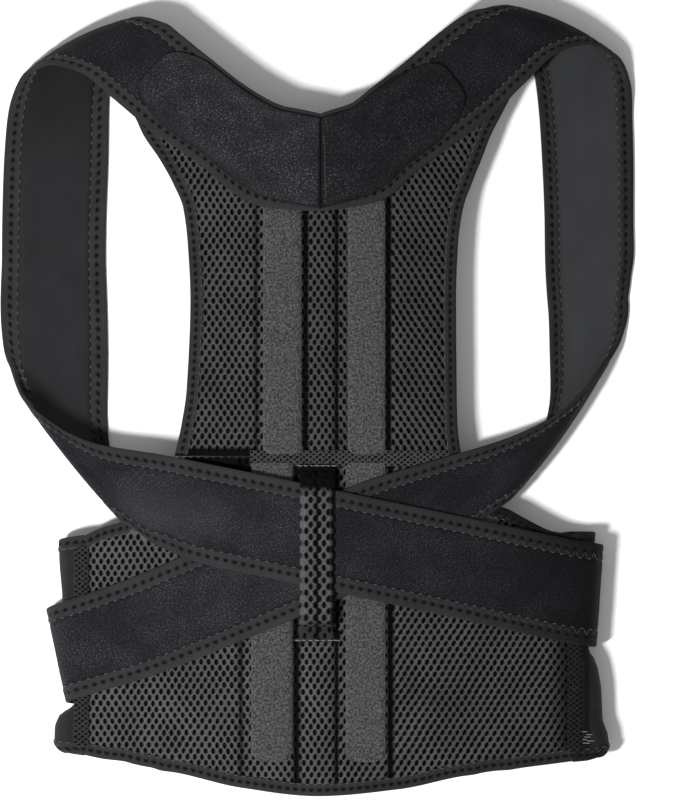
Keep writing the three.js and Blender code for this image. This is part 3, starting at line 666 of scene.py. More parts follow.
class Paint:
    """A material whose node tree is being built."""

    def __init__(self, name: str) -> None:
        """Starts an empty node tree under a finish's name."""
        self.material = bpy.data.materials.new(name)
        self.material.use_nodes = True
        self.tree = self.material.node_tree
        self.tree.nodes.clear()

    def node(self, kind: str, settings: Settings, sockets: Sockets) -> Node:
        """Adds one node.

        Args:
            kind: the node's type.
            settings: its own properties, which are set first.
            sockets: values or links for its inputs.

        Returns:
            The node.
        """
        made = self.tree.nodes.new(kind)
        for key, value in settings.items():
            setattr(made, key, value)
        for key, value in sockets.items():
            value = value.socket if isinstance(value, Signal) else value
            if isinstance(value, Socket):
                self.tree.links.new(value, made.inputs[key])
            else:
                made.inputs[key].default_value = value
        return made

    def number(self, kind: str, settings: Settings, sockets: Sockets) -> Signal:
        """Adds a node and returns its first output as a number."""
        return Signal(self, self.node(kind, settings, sockets).outputs[0])

    def cloth(self) -> Socket:
        """Returns the piece's own map: metres across its cloth and along it."""
        return self.node("ShaderNodeUVMap", {"uv_map": "cloth"}, {}).outputs[0]

    def space(self) -> Socket:
        """Returns the Object coordinates, in metres."""
        return self.node("ShaderNodeTexCoord", {}, {}).outputs["Object"]

    def depth(self) -> Signal:
        """Returns the depth attribute: how deep a point lies in a hole or dimple, from 0 to 1, with
        painted shade added and below 0 a painted highlight.
        """
        attribute = self.node("ShaderNodeAttribute", {"attribute_name": "depth"}, {})
        return Signal(self, attribute.outputs["Fac"])

    def scaled(self, vector: Socket, across: float, along: float, deep: float = 1.0) -> Socket:
        """Returns the coordinates counted in steps of so many millimetres along each axis."""
        sockets = {0: vector, 1: tuple(1 / (step * MM) for step in (across, along, deep))}
        return self.node("ShaderNodeVectorMath", {"operation": "MULTIPLY"}, sockets).outputs[0]

    def axes(self, vector: Socket, across: float = 1, along: float = 1) -> tuple[Signal, Signal]:
        """Returns the first two coordinates, counted in steps of so many millimetres."""
        scaled = self.scaled(vector, across, along)
        parts = self.node("ShaderNodeSeparateXYZ", {}, {0: scaled}).outputs
        return Signal(self, parts[0]), Signal(self, parts[1])

    def noise(
        self,
        vector: Socket,
        across: float,
        along: float,
        detail: float = 2.0,
        rough: float = 0.5,
        deep: float = 1.0,
    ) -> Signal:
        """Gives an uneven value of about 0.5.

        Args:
            vector: the coordinates.
            across: the grains' size across, in millimetres.
            along: their size along.
            detail: how many finer layers there are.
            rough: how strong the finer layers are.
            deep: the grains' size along the third axis.

        Returns:
            The value.
        """
        scaled = self.scaled(vector, across, along, deep)
        sockets = {"Vector": scaled, "Scale": 1.0, "Detail": detail, "Roughness": rough}
        return self.number("ShaderNodeTexNoise", {}, sockets)

    def mix(self, share: Value, first: Value, second: Value) -> Socket:
        """Returns the colour a share of the way from the first to the second."""
        settings = {"data_type": "RGBA", "clamp_factor": True}
        return self.node("ShaderNodeMix", settings, {0: share, 6: first, 7: second}).outputs[2]

    def shades(self, share: Value, colour: Colour, dark: float, bright: float) -> Socket:
        """Returns the colour a share of the way from its dark shade to its bright one."""
        return self.mix(share, opaque(colour, dark), opaque(colour, bright))

    def sunk(self, colour: Value, deep: Value, low: float = 0.0, high: float = 1.0) -> Socket:
        """Returns the colour, turned to the deep one as the depth goes from low to high, for
        painted shade or highlight.
        """
        return self.mix(self.depth().ramp(low, high), colour, deep)

    def finish(
        self,
        colour: Value,
        roughness: Value,
        height: Signal,
        relief: float,
        sheen: float,
        gloss: float,
        crown: float = 0.0,
    ) -> Material:
        """Ends the tree in a cloth shader.

        Args:
            colour: the base colour.
            roughness: the roughness.
            height: the bump's height, as a share of its relief.
            relief: the bump's relief in millimetres.
            sheen: how much the nap catches light from the side.
            gloss: the specular level.
            crown: how steeply the padded cloth falls toward the brace's sides.

        Returns:
            The material.
        """
        across, _ = self.axes(self.space())
        square = across * across
        fall = ((square + CROWN_BEND**2).root() + square * (1 / CROWN_REACH)) * crown
        relieved = height * relief - fall
        sockets = {"Strength": 1.0, "Distance": MM, "Height": relieved}
        bump = self.node("ShaderNodeBump", {}, sockets)
        sockets = {
            "Base Color": colour,
            "Roughness": roughness,
            "Normal": bump.outputs[0],
            "Sheen Weight": sheen,
            "Sheen Roughness": 0.45,
            "Specular IOR Level": gloss,
        }
        shader = self.node("ShaderNodeBsdfPrincipled", {}, sockets)
        self.node("ShaderNodeOutputMaterial", {}, {0: shader.outputs[0]})
        return self.material


@dataclass(frozen=True)
class NapFinish:
    """A brushed cloth whose short fibres catch light in specks and patches."""

    base: Colour
    fibre: Colour
    grain: float
    patch: float
    amount: float
    relief: float
    sheen: float

    def paint(self, name: str) -> Material:
        """Returns the material."""
        paint = Paint(name)
        cloth = paint.cloth()
        grain = paint.noise(cloth, self.grain, self.grain, 3.0, 0.65)
        lint = paint.noise(cloth, self.grain * 2.1, self.grain * 2.7, rough=0.6)
        patch = paint.noise(cloth, self.patch, self.patch * 1.4).ramp(0.38, 0.66)
        specks = grain.ramp(0.53, 0.72) * (0.35 + 0.65 * patch) * self.amount
        dark = 0.55 * lint.ramp(0.42, 0.6) + 0.45 * patch
        ground = paint.shades(dark, self.base, 0.62, 1.2)
        # A painted highlight: where the depth is below 0 the ground turns to the fibre colour.
        highlighted = paint.sunk(ground, opaque(self.fibre), 0.0, -1.0)
        brushed = paint.mix(specks, highlighted, opaque(self.fibre))
        # Painted shade: the depth darkens the cloth toward a fifth of its base colour.
        colour = paint.sunk(brushed, opaque(self.base, 0.2))
        height = 0.7 * grain + 0.3 * lint
        return paint.finish(colour, 0.95, height, self.relief, self.sheen, 0.12, 0.4)


@dataclass(frozen=True)
class KnitFinish:
    """A smooth fine knit with faint wales."""

    base: Colour
    wale: float
    relief: float
    roughness: float

    def paint(self, name: str) -> Material:
        """Returns the material."""
        paint = Paint(name)
        cloth = paint.cloth()
        across, along = paint.axes(cloth, self.wale, self.wale * 1.25)
        cloudy = paint.noise(cloth, 17, 26)
        fuzz = paint.noise(cloth, 0.7, 1.1)
        tone = 0.55 * cloudy.ramp() + 0.45 * fuzz.ramp()
        # Painted shade from the depth darkens the knit.
        colour = paint.sunk(paint.shades(tone, self.base, 0.82, 1.2), opaque(self.base, 0.15))
        height = (across * TURN).wave(0.25) + (along * TURN).wave(0.25) + 0.6 * fuzz
        return paint.finish(colour, self.roughness, height, self.relief, 0.03, 0.2, -0.36)


@dataclass(frozen=True)
class TapeFinish:
    """A narrow knitted tape with ribs across it, with painted shade in its needle dimples and
    shaded stretches.
    """

    base: Colour
    rib: float
    relief: float

    def paint(self, name: str) -> Material:
        """Returns the material."""
        paint = Paint(name)
        cloth = paint.cloth()
        across, along = paint.axes(cloth, self.rib * 1.5, self.rib)
        ribs = (along * TURN).wave()
        cords = (across * TURN).wave()
        fuzz = paint.noise(cloth, 0.5, 0.9, 3.0)
        cloudy = paint.noise(cloth, 9, 21)
        tone = 0.3 * ribs + 0.15 * cords + 0.35 * fuzz.ramp() + 0.35 * cloudy.ramp()
        ribbed = paint.shades(tone.ramp(0.1, 1.0), self.base, 0.68, 1.35)
        colour = paint.sunk(ribbed, opaque(self.base, 0.1), 0.05, 0.6)
        height = ribs * 0.5 + cords * 0.25 + fuzz
        return paint.finish(colour, 0.86, height, self.relief, 0.03, 0.07, 0.3)


@dataclass(frozen=True)
class SpacerFinish:
    """A knitted mesh of bright yarns over holes, dark from the inner yarn and from painted shade.
    """

    yarn: Colour
    hollow: Colour
    strand: float
    relief: float

    def paint(self, name: str) -> Material:
        """Returns the material."""
        paint = Paint(name)
        space = paint.space()
        strands = paint.noise(space, self.strand, self.strand * 3.2, rough=0.6)
        slubs = paint.noise(space, 1.3, 1.1)
        cloudy = paint.noise(space, 24, 33)
        tone = 0.4 * strands.ramp() + 0.3 * slubs.ramp() + 0.3 * cloudy.ramp()
        yarn = paint.shades(tone, self.yarn, 0.45, 1.6)
        # The depth turns holes and shaded places to the hollow colour: partly the dark inner yarn,
        # partly painted shade.
        colour = paint.sunk(yarn, opaque(self.hollow), 0.12, 0.72)
        return paint.finish(colour, 0.75, strands + 0.5 * slubs, self.relief, 0.03, 0.05, 0.24)


@dataclass(frozen=True)
class OverlockFinish:
    """A band of dense overlocked stitches with a fine chequer of dark gaps."""

    yarn: Colour
    hollow: Colour
    pitch: float
    row: float
    relief: float

    def paint(self, name: str) -> Material:
        """Returns the material."""
        paint = Paint(name)
        space = paint.space()
        across, along = paint.axes(space, self.pitch, self.row)
        uneven = paint.noise(space, 2.2, 2.2)
        crossing = (across * TURN + uneven * 3.0).sine() * (along * TURN + uneven * 3.0).sine()
        gaps = (crossing + uneven * 0.6).ramp(0.35, 0.75)
        fuzz = paint.noise(space, 0.6, 0.8)
        yarn = paint.shades(fuzz.ramp(), self.yarn, 0.55, 1.5)
        # The depth lays painted shade over the band.
        colour = paint.sunk(paint.mix(gaps, yarn, opaque(self.hollow)), opaque(self.hollow))
        return paint.finish(colour, 0.8, 1.0 - gaps + 0.3 * fuzz, self.relief, 0.03, 0.05)


@dataclass(frozen=True)
class TwillFinish:
    """A woven cloth with steep ribs that step across it."""

    base: Colour
    rib: float
    lean: float
    relief: float

    def paint(self, name: str) -> Material:
        """Returns the material."""
        paint = Paint(name)
        space = paint.space()
        across, along = paint.axes(space, self.rib, self.rib)
        fuzz = paint.noise(space, 1.25, 1.4, rough=0.75).ramp(0.38, 0.62)
        slub = paint.noise(space, 6, 9)
        picks = (along * (TURN * 1.05) + 0.8 * slub).wave()
        ends = (across * (TURN * 1.35)).wave()
        slant = (along * 0.36 - across * self.lean) * (TURN * 0.7)
        loops = (slant + 1.5 * slub).wave()
        side = paint.depth().ramp(0.25, 0.75)
        height = 0.3 * picks * ends + 0.3 * side * loops + 0.5 * fuzz
        tone = 0.15 * picks * ends + 0.2 * side * loops + 0.62 * fuzz + 0.15 * slub
        cloth = paint.shades(tone, self.base, 0.16, 2.05)
        # Painted shade at the tucked edges, where the depth nears 1.
        colour = paint.sunk(cloth, opaque(self.base, 0.1), 0.8, 1.0)
        return paint.finish(colour, 0.85, height, self.relief, 0.03, 0.08)


@dataclass(frozen=True)
class ElasticFinish:
    """A ribbed elastic whose cords run along the belt."""

    base: Colour
    rib: float
    relief: float

    def paint(self, name: str) -> Material:
        """Returns the material."""
        paint = Paint(name)
        cloth = paint.cloth()
        across, along = paint.axes(cloth, self.rib, self.rib * 0.55)
        fuzz = paint.noise(cloth, 0.35, 0.9)
        cords = (across * TURN).wave()
        twist = (along * TURN + across * 2.0).wave()
        cloudy = paint.noise(cloth, 15, 21)
        tone = 0.4 * cords + 0.25 * fuzz + 0.35 * cloudy.ramp()
        # Painted shade from the depth, in a valley beside the seam.
        colour = paint.sunk(paint.shades(tone, self.base, 0.65, 1.3), opaque(self.base, 0.12))
        height = cords * 0.7 + twist * 0.2 + 0.3 * fuzz
        return paint.finish(colour, 0.7, height, self.relief, 0.02, 0.06, 0.22)


@dataclass(frozen=True)
class ThreadFinish:
    """A twisted sewing thread."""

    base: Colour

    def paint(self, name: str) -> Material:
        """Returns the material."""
        paint = Paint(name)
        plies = paint.noise(paint.space(), 0.3, 0.3, 1.0, deep=0.3)
        colour = paint.shades(plies.ramp(), self.base, 0.7, 1.3)
        return paint.finish(colour, 0.55, plies, 0.05, 0.1, 0.4)


@dataclass(frozen=True)
class FloorFinish:
    """A plain pale tabletop."""

    base: Colour

    def paint(self, name: str) -> Material:
        """Returns the material."""
        paint = Paint(name)
        grain = paint.noise(paint.space(), 60, 60, deep=60)
        return paint.finish(paint.shades(grain, self.base, 0.985, 1.0), 0.9, grain, 0.02, 0.0, 0.1)


@dataclass
class EdgeLine:
    """A line along a cloth's edge, measured in millimetres along its row of stitches."""

    point: Place
    start: float
    end: float
    stitch_line: float
    stations: Array = field(init=False)
    lengths: Array = field(init=False)

    def __post_init__(self) -> None:
        """Measures the line."""
        self.stations = np.linspace(self.start, self.end, 4001)
        path = self.point(self.stations, np.full(self.stations.shape, self.stitch_line))
        steps = np.linalg.norm(np.diff(path, axis=0), axis=1)
        self.lengths = np.concatenate([[0.0], steps.cumsum()])

    @property
    def length(self) -> float:
        """Returns the line's length in millimetres."""
        return float(self.lengths[-1])

    def at(self, along: Array, inward: Array) -> Array:
        """Returns points by their distance along the line and in from the edge, in millimetres."""
        return self.point(np.interp(along, self.lengths, self.stations), inward)


def plump(share: Array) -> Array:
    """Returns a round shoulder that rises from 0 at 0 to 1 at 1."""
    return np.sqrt(np.maximum(1 - (1 - np.clip(share, 0, 1)) ** 2, 0))


@dataclass
class StitchedTape:
    """A tape folded over an edge, with needle dimples and a zigzag thread on both faces."""

    line: EdgeLine
    width: float
    thickness: float
    dimple_at: float
    inner_at: float
    pitch: float = 5.5
    dimple_depth: float = 0.7
    thread_radius: float = 0.22
    dash: float = 1.25
    # Painted shade over the tape, from 0 to 1, for each point.
    away: Callable[[Array], Array | float] = lambda _: 0.0

    @property
    def count(self) -> int:
        """Returns the number of zigzags."""
        return max(1, round(self.line.length / self.pitch))

    @property
    def step(self) -> float:
        """Returns the length of one zigzag, in millimetres."""
        return self.line.length / self.count

    def dimples(self, along: Array, inward: Array) -> Array:
        """Returns how far into a needle dimple each place lies, from 0 to 1."""
        return bell(past_step(along, self.step), 1.35) * bell(inward - self.dimple_at, 1.25)

    def half(self, along: Array, inward: Array) -> Array:
        """Returns half the tape's thickness at each place, in millimetres."""
        outer = 0.25 + 0.75 * plump(inward / 1.7)
        inner = 0.74 + 0.26 * plump((self.width - inward) / 1.1)
        swell = 1 - 0.13 * np.cos(TURN * along / self.step) * plump((inward - self.dimple_at) / 2)
        off = along - self.step * (np.floor(along / self.step) + 0.5)
        pull = 0.16 * bell(off, 1.4) * bell(inward - self.inner_at, 0.7)
        plain = self.thickness / 2 * outer * inner * swell
        return plain - self.dimple_depth * self.dimples(along, inward) - pull

    def shell(self) -> Shell:
        """Returns the tape."""
        shares = [0, 0.02, 0.06, 0.12, 0.2, 0.3, 0.4, 0.48, 0.55, 0.62, 0.7, 0.8, 0.88, 0.94, 1]
        along = np.linspace(0, self.line.length, 4 * self.count + 1)
        inward = self.width * np.array(shares)
        made = woven_shell(self.line.at, along, inward, 0.4, self.half)
        depth = self.dimples(*np.meshgrid(along, inward, indexing="ij")).ravel()
        # The dimples and the away function lay painted shade on the tape.
        made.depth = np.maximum(np.tile(depth, 2), self.away(made.points))
        return made

    def zigzag(self) -> Shell:
        """Returns the thread's slants in slot 0 and its inner stitches, painted lighter as a
        highlight, in slot 1.
        """
        share = np.array([0, 0.18, 0.5, 0.82, 1])
        starts = np.arange(self.count)[:, None] * self.step
        inner = self.inner_at - self.dimple_at
        reach = self.step / 2 - self.dash
        coming = starts + self.step - reach + share * reach
        along = np.concatenate([starts + share * reach, coming])
        going_in = self.dimple_at + inner * share + 0 * starts
        inward = np.concatenate([going_in, self.inner_at - inner * share + 0 * starts])
        dashes = starts + reach + share * 2 * self.dash
        level = np.full(dashes.shape, self.inner_at + 0.15)
        return join_shells(self.sewn(along, inward, 0, -0.12) + self.sewn(dashes, level, 1, 0.0))

    def sewn(self, along: Array, inward: Array, slot: int, lift: float) -> list[Shell]:
        """Returns stitches on both faces of the tape.

        Args:
            along: distances along the edge, as stitches by points.
            inward: distances in from the edge.
            slot: the material slot.
            lift: how far the stitches' middles are raised, in millimetres.

        Returns:
            One shell for each face.
        """
        arch = lift + np.array([-0.32, 0.06, 0.17, 0.06, -0.32])
        middle = self.line.at(along, inward)
        out = normals(self.line.at, along, inward, 0.4)
        height = (self.half(along, inward) + arch)[..., None]
        faces = ((middle + out * height, out), (middle - out * height, -out))
        return [threads(path, away, self.thread_radius, slot) for path, away in faces]


def running_stitches(place: Place, us: Array, vs: Array, height: float, radius: float) -> Shell:
    """Makes one row of straight stitches over a surface.

    Args:
        place: the surface, in millimetres.
        us: first coordinates of the stitches' ends, as stitches by 2.
        vs: second coordinates of the stitches' ends.
        height: how far the cloth's face lies above the surface.
        radius: the thread's radius.

    Returns:
        The stitches.
    """
    share = np.array([0, 0.2, 0.5, 0.8, 1])
    lift = np.array([-0.3, 0.05, 0.15, 0.05, -0.3])
    u = lerp(us[:, :1], us[:, 1:], share)
    v = lerp(vs[:, :1], vs[:, 1:], share)
    out = normals(place, u, v, 0.2)
    out *= np.where(out[..., 2:] < 0, -1.0, 1.0)
    return threads(place(u, v) + out * (height + lift)[..., None], out, radius)


def crowded(count: int) -> Array:
    """Returns steps from -1 to 1 that lie closer toward both ends."""
    return np.sin(np.linspace(-math.pi / 2, math.pi / 2, count))


class Cloth(Enum):
    """The finishes of the brace, each of which is one material."""

    STRAP_NAP = NapFinish((0.0098, 0.0100, 0.0128), (0.096, 0.098, 0.112), 0.85, 22, 1.0, 0.5, 0.02)
    STRAP_LINING = KnitFinish((0.0205, 0.0213, 0.0228), 0.9, 0.06, 0.8)
    LOOP_PILE = NapFinish((0.0122, 0.0127, 0.0147), (0.128, 0.132, 0.143), 1.0, 14, 1.1, 0.6, 0.02)
    # A darker copy of the loop pile for the right patch, which lies away from the light: painted
    # shade.
    PILE_AWAY = NapFinish((0.009, 0.0094, 0.011), (0.085, 0.087, 0.096), 1.15, 14, 0.9, 0.5, 0.01)
    EDGE_TAPE = TapeFinish((0.0222, 0.0225, 0.0231), 1.0, 0.2)
    SPACER_YARN = SpacerFinish((0.064, 0.0645, 0.0653), (0.0008, 0.0008, 0.0009), 0.32, 0.16)
    OVERLOCK = OverlockFinish((0.036, 0.0363, 0.0368), (0.0008, 0.0008, 0.0008), 3.9, 3.1, 0.3)
    POCKET_WEAVE = TwillFinish((0.054, 0.0545, 0.0546), 0.9, 0.55, 0.4)
    BELT_ELASTIC = ElasticFinish((0.0185, 0.0190, 0.0200), 0.95, 0.2)
    SEWING_THREAD = ThreadFinish((0.026, 0.0262, 0.0268))
    # A lighter copy of the sewing thread for stitches whose loops catch the light: painted
    # highlight.
    EDGE_THREAD = ThreadFinish((0.085, 0.087, 0.091))
    BAR_TACK_THREAD = ThreadFinish((0.2, 0.2, 0.2))
    HOOK_PILE = NapFinish((0.012, 0.012, 0.012), (0.05, 0.05, 0.05), 1.2, 20, 0.9, 0.5, 0.0)


# The edge tapes' thread: its slants, and its inner stitches in the painted-highlight copy.
TAPE_THREADS = (Cloth.SEWING_THREAD, Cloth.EDGE_THREAD)


@functools.cache
def material(finish: Cloth) -> Material:
    """Returns a finish's material, which is made once."""
    return finish.value.paint(finish.name.lower())


def settle(piece: Object, slot: str, *nodes: str) -> Object:
    """Rides a piece on the brace and hides the CAD nodes that it stands for.

    Args:
        piece: the piece.
        slot: not used.
        nodes: the CAD nodes.

    Returns:
        The piece.
    """
    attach(piece, BODY)
    if nodes:
        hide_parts(*nodes)
    LOG.info("%s: %d faces", piece.name, len(piece.data.polygons))
    return piece


@dataclass
class Strap:
    """A shoulder strap: one band from the yoke over the shoulder and round to the belt's front."""

    side: Side
    route: tuple[CrossLine, ...]
    width: float = STRAP_WIDTH
    tape_width: float = STRAP_TAPE_WIDTH
    thickness: float = STRAP_THICKNESS
    tuck: float = 0.7
    columns: dict[str, Curve] = field(init=False)

    def __post_init__(self) -> None:
        """Makes a curve of each column of the route."""
        rows = range(len(self.route))
        names = ("x", "y", "turn", "wide", "z", "bow")
        table = {name: [getattr(line, name) for line in self.route] for name in names}
        self.columns = {name: Curve(rows, values) for name, values in table.items()}

    @property
    def last(self) -> float:
        """Returns the number of the route's last row."""
        return len(self.route) - 1.0

    def cross_line(self, row: Array, across: Array) -> Array:
        """Returns points of the flat crosswise lines, before they bulge."""
        turn = np.radians(self.columns["turn"](row))
        reach = across * self.columns["wide"](row)
        x = self.columns["x"](row) * BRACE_WIDTH + reach * np.cos(turn)
        y = self.columns["y"](row) * BRACE_LENGTH + reach * np.sin(turn)
        return np.stack([x, y, self.columns["z"](row) + 0 * reach], -1)

    def raw(self, row: Array, across: Array) -> Array:
        """Returns points of the strap's middle surface, before the brace droops.

        Args:
            row: places along the route, in rows.
            across: distances from the strap's middle, in millimetres.

        Returns:
            Points in millimetres.
        """
        row = np.clip(row, 0, self.last)
        small = 1e-3
        ahead = self.cross_line(np.minimum(row + small, self.last), across)
        ahead -= self.cross_line(np.maximum(row - small, 0), across)
        turn = np.radians(self.columns["turn"](row)) + 0 * across
        crosswise = np.stack([np.cos(turn), np.sin(turn), 0 * turn], -1)
        outward = np.cross(ahead, crosswise)
        outward /= np.maximum(np.linalg.norm(outward, axis=-1, keepdims=True), 1e-12)
        bulge = self.side.value * self.columns["bow"](row) * self.width
        bulge = bulge * (1 - (2 * across / self.width) ** 2)
        return self.cross_line(row, across) + outward * bulge[..., None]

    def point(self, row: Array, across: Array) -> Array:
        """Returns points of the strap's middle surface in the part's frame, in millimetres."""
        return droop(self.raw(row, across))

    def core_half(self, along: Array, across: Array) -> Array:
        """Returns half the padded middle's thickness, in millimetres."""
        edge = self.width / 2 - self.tape_width + self.tuck - np.abs(across)
        end = plump(along / 2.2)
        shoulder = 0.5 + 0.52 * plump(edge / 4.6)
        uneven = 0.07 * wavy(along, across, 31.0) * plump(edge / 6)
        return (self.thickness / 2 * shoulder + uneven) * (0.5 + 0.5 * end)

    def core(self) -> tuple[Object, float]:
        """Makes the padded middle with its napped outer face and smooth lining.

        Returns:
            The piece and its length in millimetres.
        """
        line = EdgeLine(self.point, 0, self.last, 0.0)
        edge = self.width / 2 - self.tape_width + self.tuck
        along = np.linspace(0, line.length, round(line.length / 2.4) + 1)
        along = np.insert(along, 1, [0.3, 0.8, 1.5])
        across = edge * crowded(25)
        slots = (1, 0) if self.side is Side.LEFT else (0, 1)
        made = woven_shell(line.at, along, across, 0.4, self.core_half, slots=slots)
        # Painted shade in the groove along the tapes, then the strap's own painted shade and
        # highlight.
        groove_shade = np.exp(-np.maximum(edge - self.tuck - np.abs(across), 0) / 0.5)
        made.depth = np.tile((groove_shade + (1 - groove_shade) * self.turned(line, along, across)).ravel(), 2)
        piece = made.piece(f"strap_{self.side.word}", Cloth.STRAP_NAP, Cloth.STRAP_LINING)
        return settle(piece, "strap_cloth", f"shoulder_strap_{self.side.word}"), line.length

    def turned(self, line: EdgeLine, along: Array, across: Array) -> Array:
        """Returns painted shade where the cloth turns away from the light, and below 0 a painted
        highlight.
        """
        row, off = np.meshgrid(np.interp(along, line.lengths, line.stations), across, indexing="ij")
        x, y, _ = np.moveaxis(self.raw(row, off), -1, 0)
        # Painted shade where the straps turn round the belt's sides and over the shoulder folds.
        at_belt = np.where(x < 0, PAINTED_SHADE[Side.LEFT].strap_at_belt, PAINTED_SHADE[Side.RIGHT].strap_at_belt)
        belt = at_belt * ramp(np.abs(x), *AT_BELT) * (y < BELT_HEAD)
        shoulder = ramp(row, *ONTO_SHOULDER) * ramp(row, *OFF_SHOULDER)
        dark = np.maximum(belt, PAINTED_SHADE[self.side].strap_at_shoulder * shoulder)
        if self.side is Side.RIGHT:
            return dark
        # A painted highlight on the left strap's crest.
        crest = bell(x - CREST[0], CREST_SPREAD[0]) * bell(y - CREST[1], CREST_SPREAD[1])
        return dark - CREST_LIGHT * crest * (row > CREST_ROW)

    def tape(self, edge: Edge) -> StitchedTape:
        """Returns the tape along one of the strap's edges."""

        def inward_point(row: Array, inward: Array) -> Array:
            """Returns points by their distance in from the strap's edge."""
            return self.point(row, edge.value * (self.width / 2 - inward))

        def away(points: Array) -> Array:
            """Returns the painted shade where the tape turns away from the light at the belt's
            right.
            """
            x, y, _ = (points - ROW_SHIFT).T
            return TURNED_TAPE_SHADE * ramp(x, *TAPE_AT_BELT) * (y < BELT_HEAD)

        line = EdgeLine(inward_point, 0, self.last, 5.6)
        return StitchedTape(line, self.tape_width, self.thickness + 0.1, 5.6, 9.9, away=away)

    def build(self) -> None:
        """Makes and dresses the whole strap."""
        word = self.side.word
        core, length = self.core()
        LOG.info("strap %s is %.0f mm long", word, length)
        stitches = []
        for edge in Edge:
            tape = self.tape(edge)
            piece = tape.shell().piece(f"strap_binding_{word}_{edge.word}", Cloth.EDGE_TAPE)
            settle(piece, "edge_tape", f"strap_tape_{word}_{edge.word}")
            stitches.append(tape.zigzag())
        thread = join_shells(stitches).piece(f"strap_stitches_{word}", *TAPE_THREADS)
        settle(thread, "edge_tape")


@dataclass
class YokeTab:
    """A round-ended patch of loop pile that covers a strap's middle at the yoke."""

    strap: Strap
    reach: float
    thickness: float = TAB_THICKNESS
    pitch: float = 4.6
    bare_tape: float = 5.0
    raised: float = 2.2

    @property
    def half_width(self) -> float:
        """Returns half the patch's width, in millimetres."""
        return self.strap.width / 2 - self.bare_tape

    def point(self, along: Array, across: Array) -> Array:
        """Returns points for a share of the reach and a share of half the width."""
        rounded = 1 - TAB_ROUND * np.clip(across, -1, 1) ** 4
        covered = 5.2 * np.clip(1 - along / 0.4, 0, 1) * np.clip(-across, 0, 1)
        off = across * (self.half_width + covered) + self.raised
        raw = self.strap.raw(along * self.reach * rounded, off)
        raw[..., 2] += self.strap.thickness / 2 + EDGE_GAP + self.thickness / 2
        return droop(raw)

    def build(self) -> None:
        """Makes and dresses the patch."""
        line = EdgeLine(self.point, 0, 1, 0.0)
        total = line.length
        inset = 2.6

        def border(along: Array, across: Array) -> tuple[Array, Array]:
            """Returns the distances to the sides and to the round end, in millimetres."""
            return (1 - np.abs(across)) * self.half_width, total - along

        def dimples(along: Array, across: Array) -> Array:
            """Returns how far into a needle dimple each place lies, from 0 to 1."""
            side, end = border(along, across)
            run = past_step(across * self.half_width, self.pitch)
            off = past_step(along, self.pitch)
            sides = bell(off, 0.9) * bell(side - inset, 0.8) * (end > inset)
            return np.maximum(sides, bell(run, 0.9) * bell(end - inset, 0.9) * (side > inset))

        def half(along: Array, across: Array) -> Array:
            """Returns half the patch's thickness, in millimetres."""
            side, end = border(along, across)
            edge = 0.3 + 0.7 * plump(np.minimum(np.minimum(side, end), along + 0.2) / 1.4)
            return self.thickness / 2 * edge * 1.1 - 0.38 * dimples(along, across)

        body = np.linspace(1, total - 1.2, round(total / 1.15))
        us = np.concatenate([[0, 0.4], body, [total - 0.5, total]])
        vs = crowded(57)
        flip = self.strap.side is Side.LEFT
        under = even(self.thickness / 2)
        made = woven_shell(line.at, us, vs, 0.002, *((under, half) if flip else (half, under)))
        side, end = border(*np.meshgrid(us, vs, indexing="ij"))
        # Painted shadow round the patch's border, and darker still where it starts at the middle
        # seam.
        rim = 0.85 * bell(np.minimum(side, end), 0.8)
        made.depth = np.tile(np.maximum(rim, 0.95 * bell(us[:, None], 1.2)).ravel(), 2)
        word = self.strap.side.word
        # The right patch, which lies away from the light, takes the pile's painted-shade copy.
        piece = made.piece(f"yoke_patch_{word}", Cloth.LOOP_PILE if flip else Cloth.PILE_AWAY)
        settle(piece, "loop_pile", f"yoke_tab_{word}")


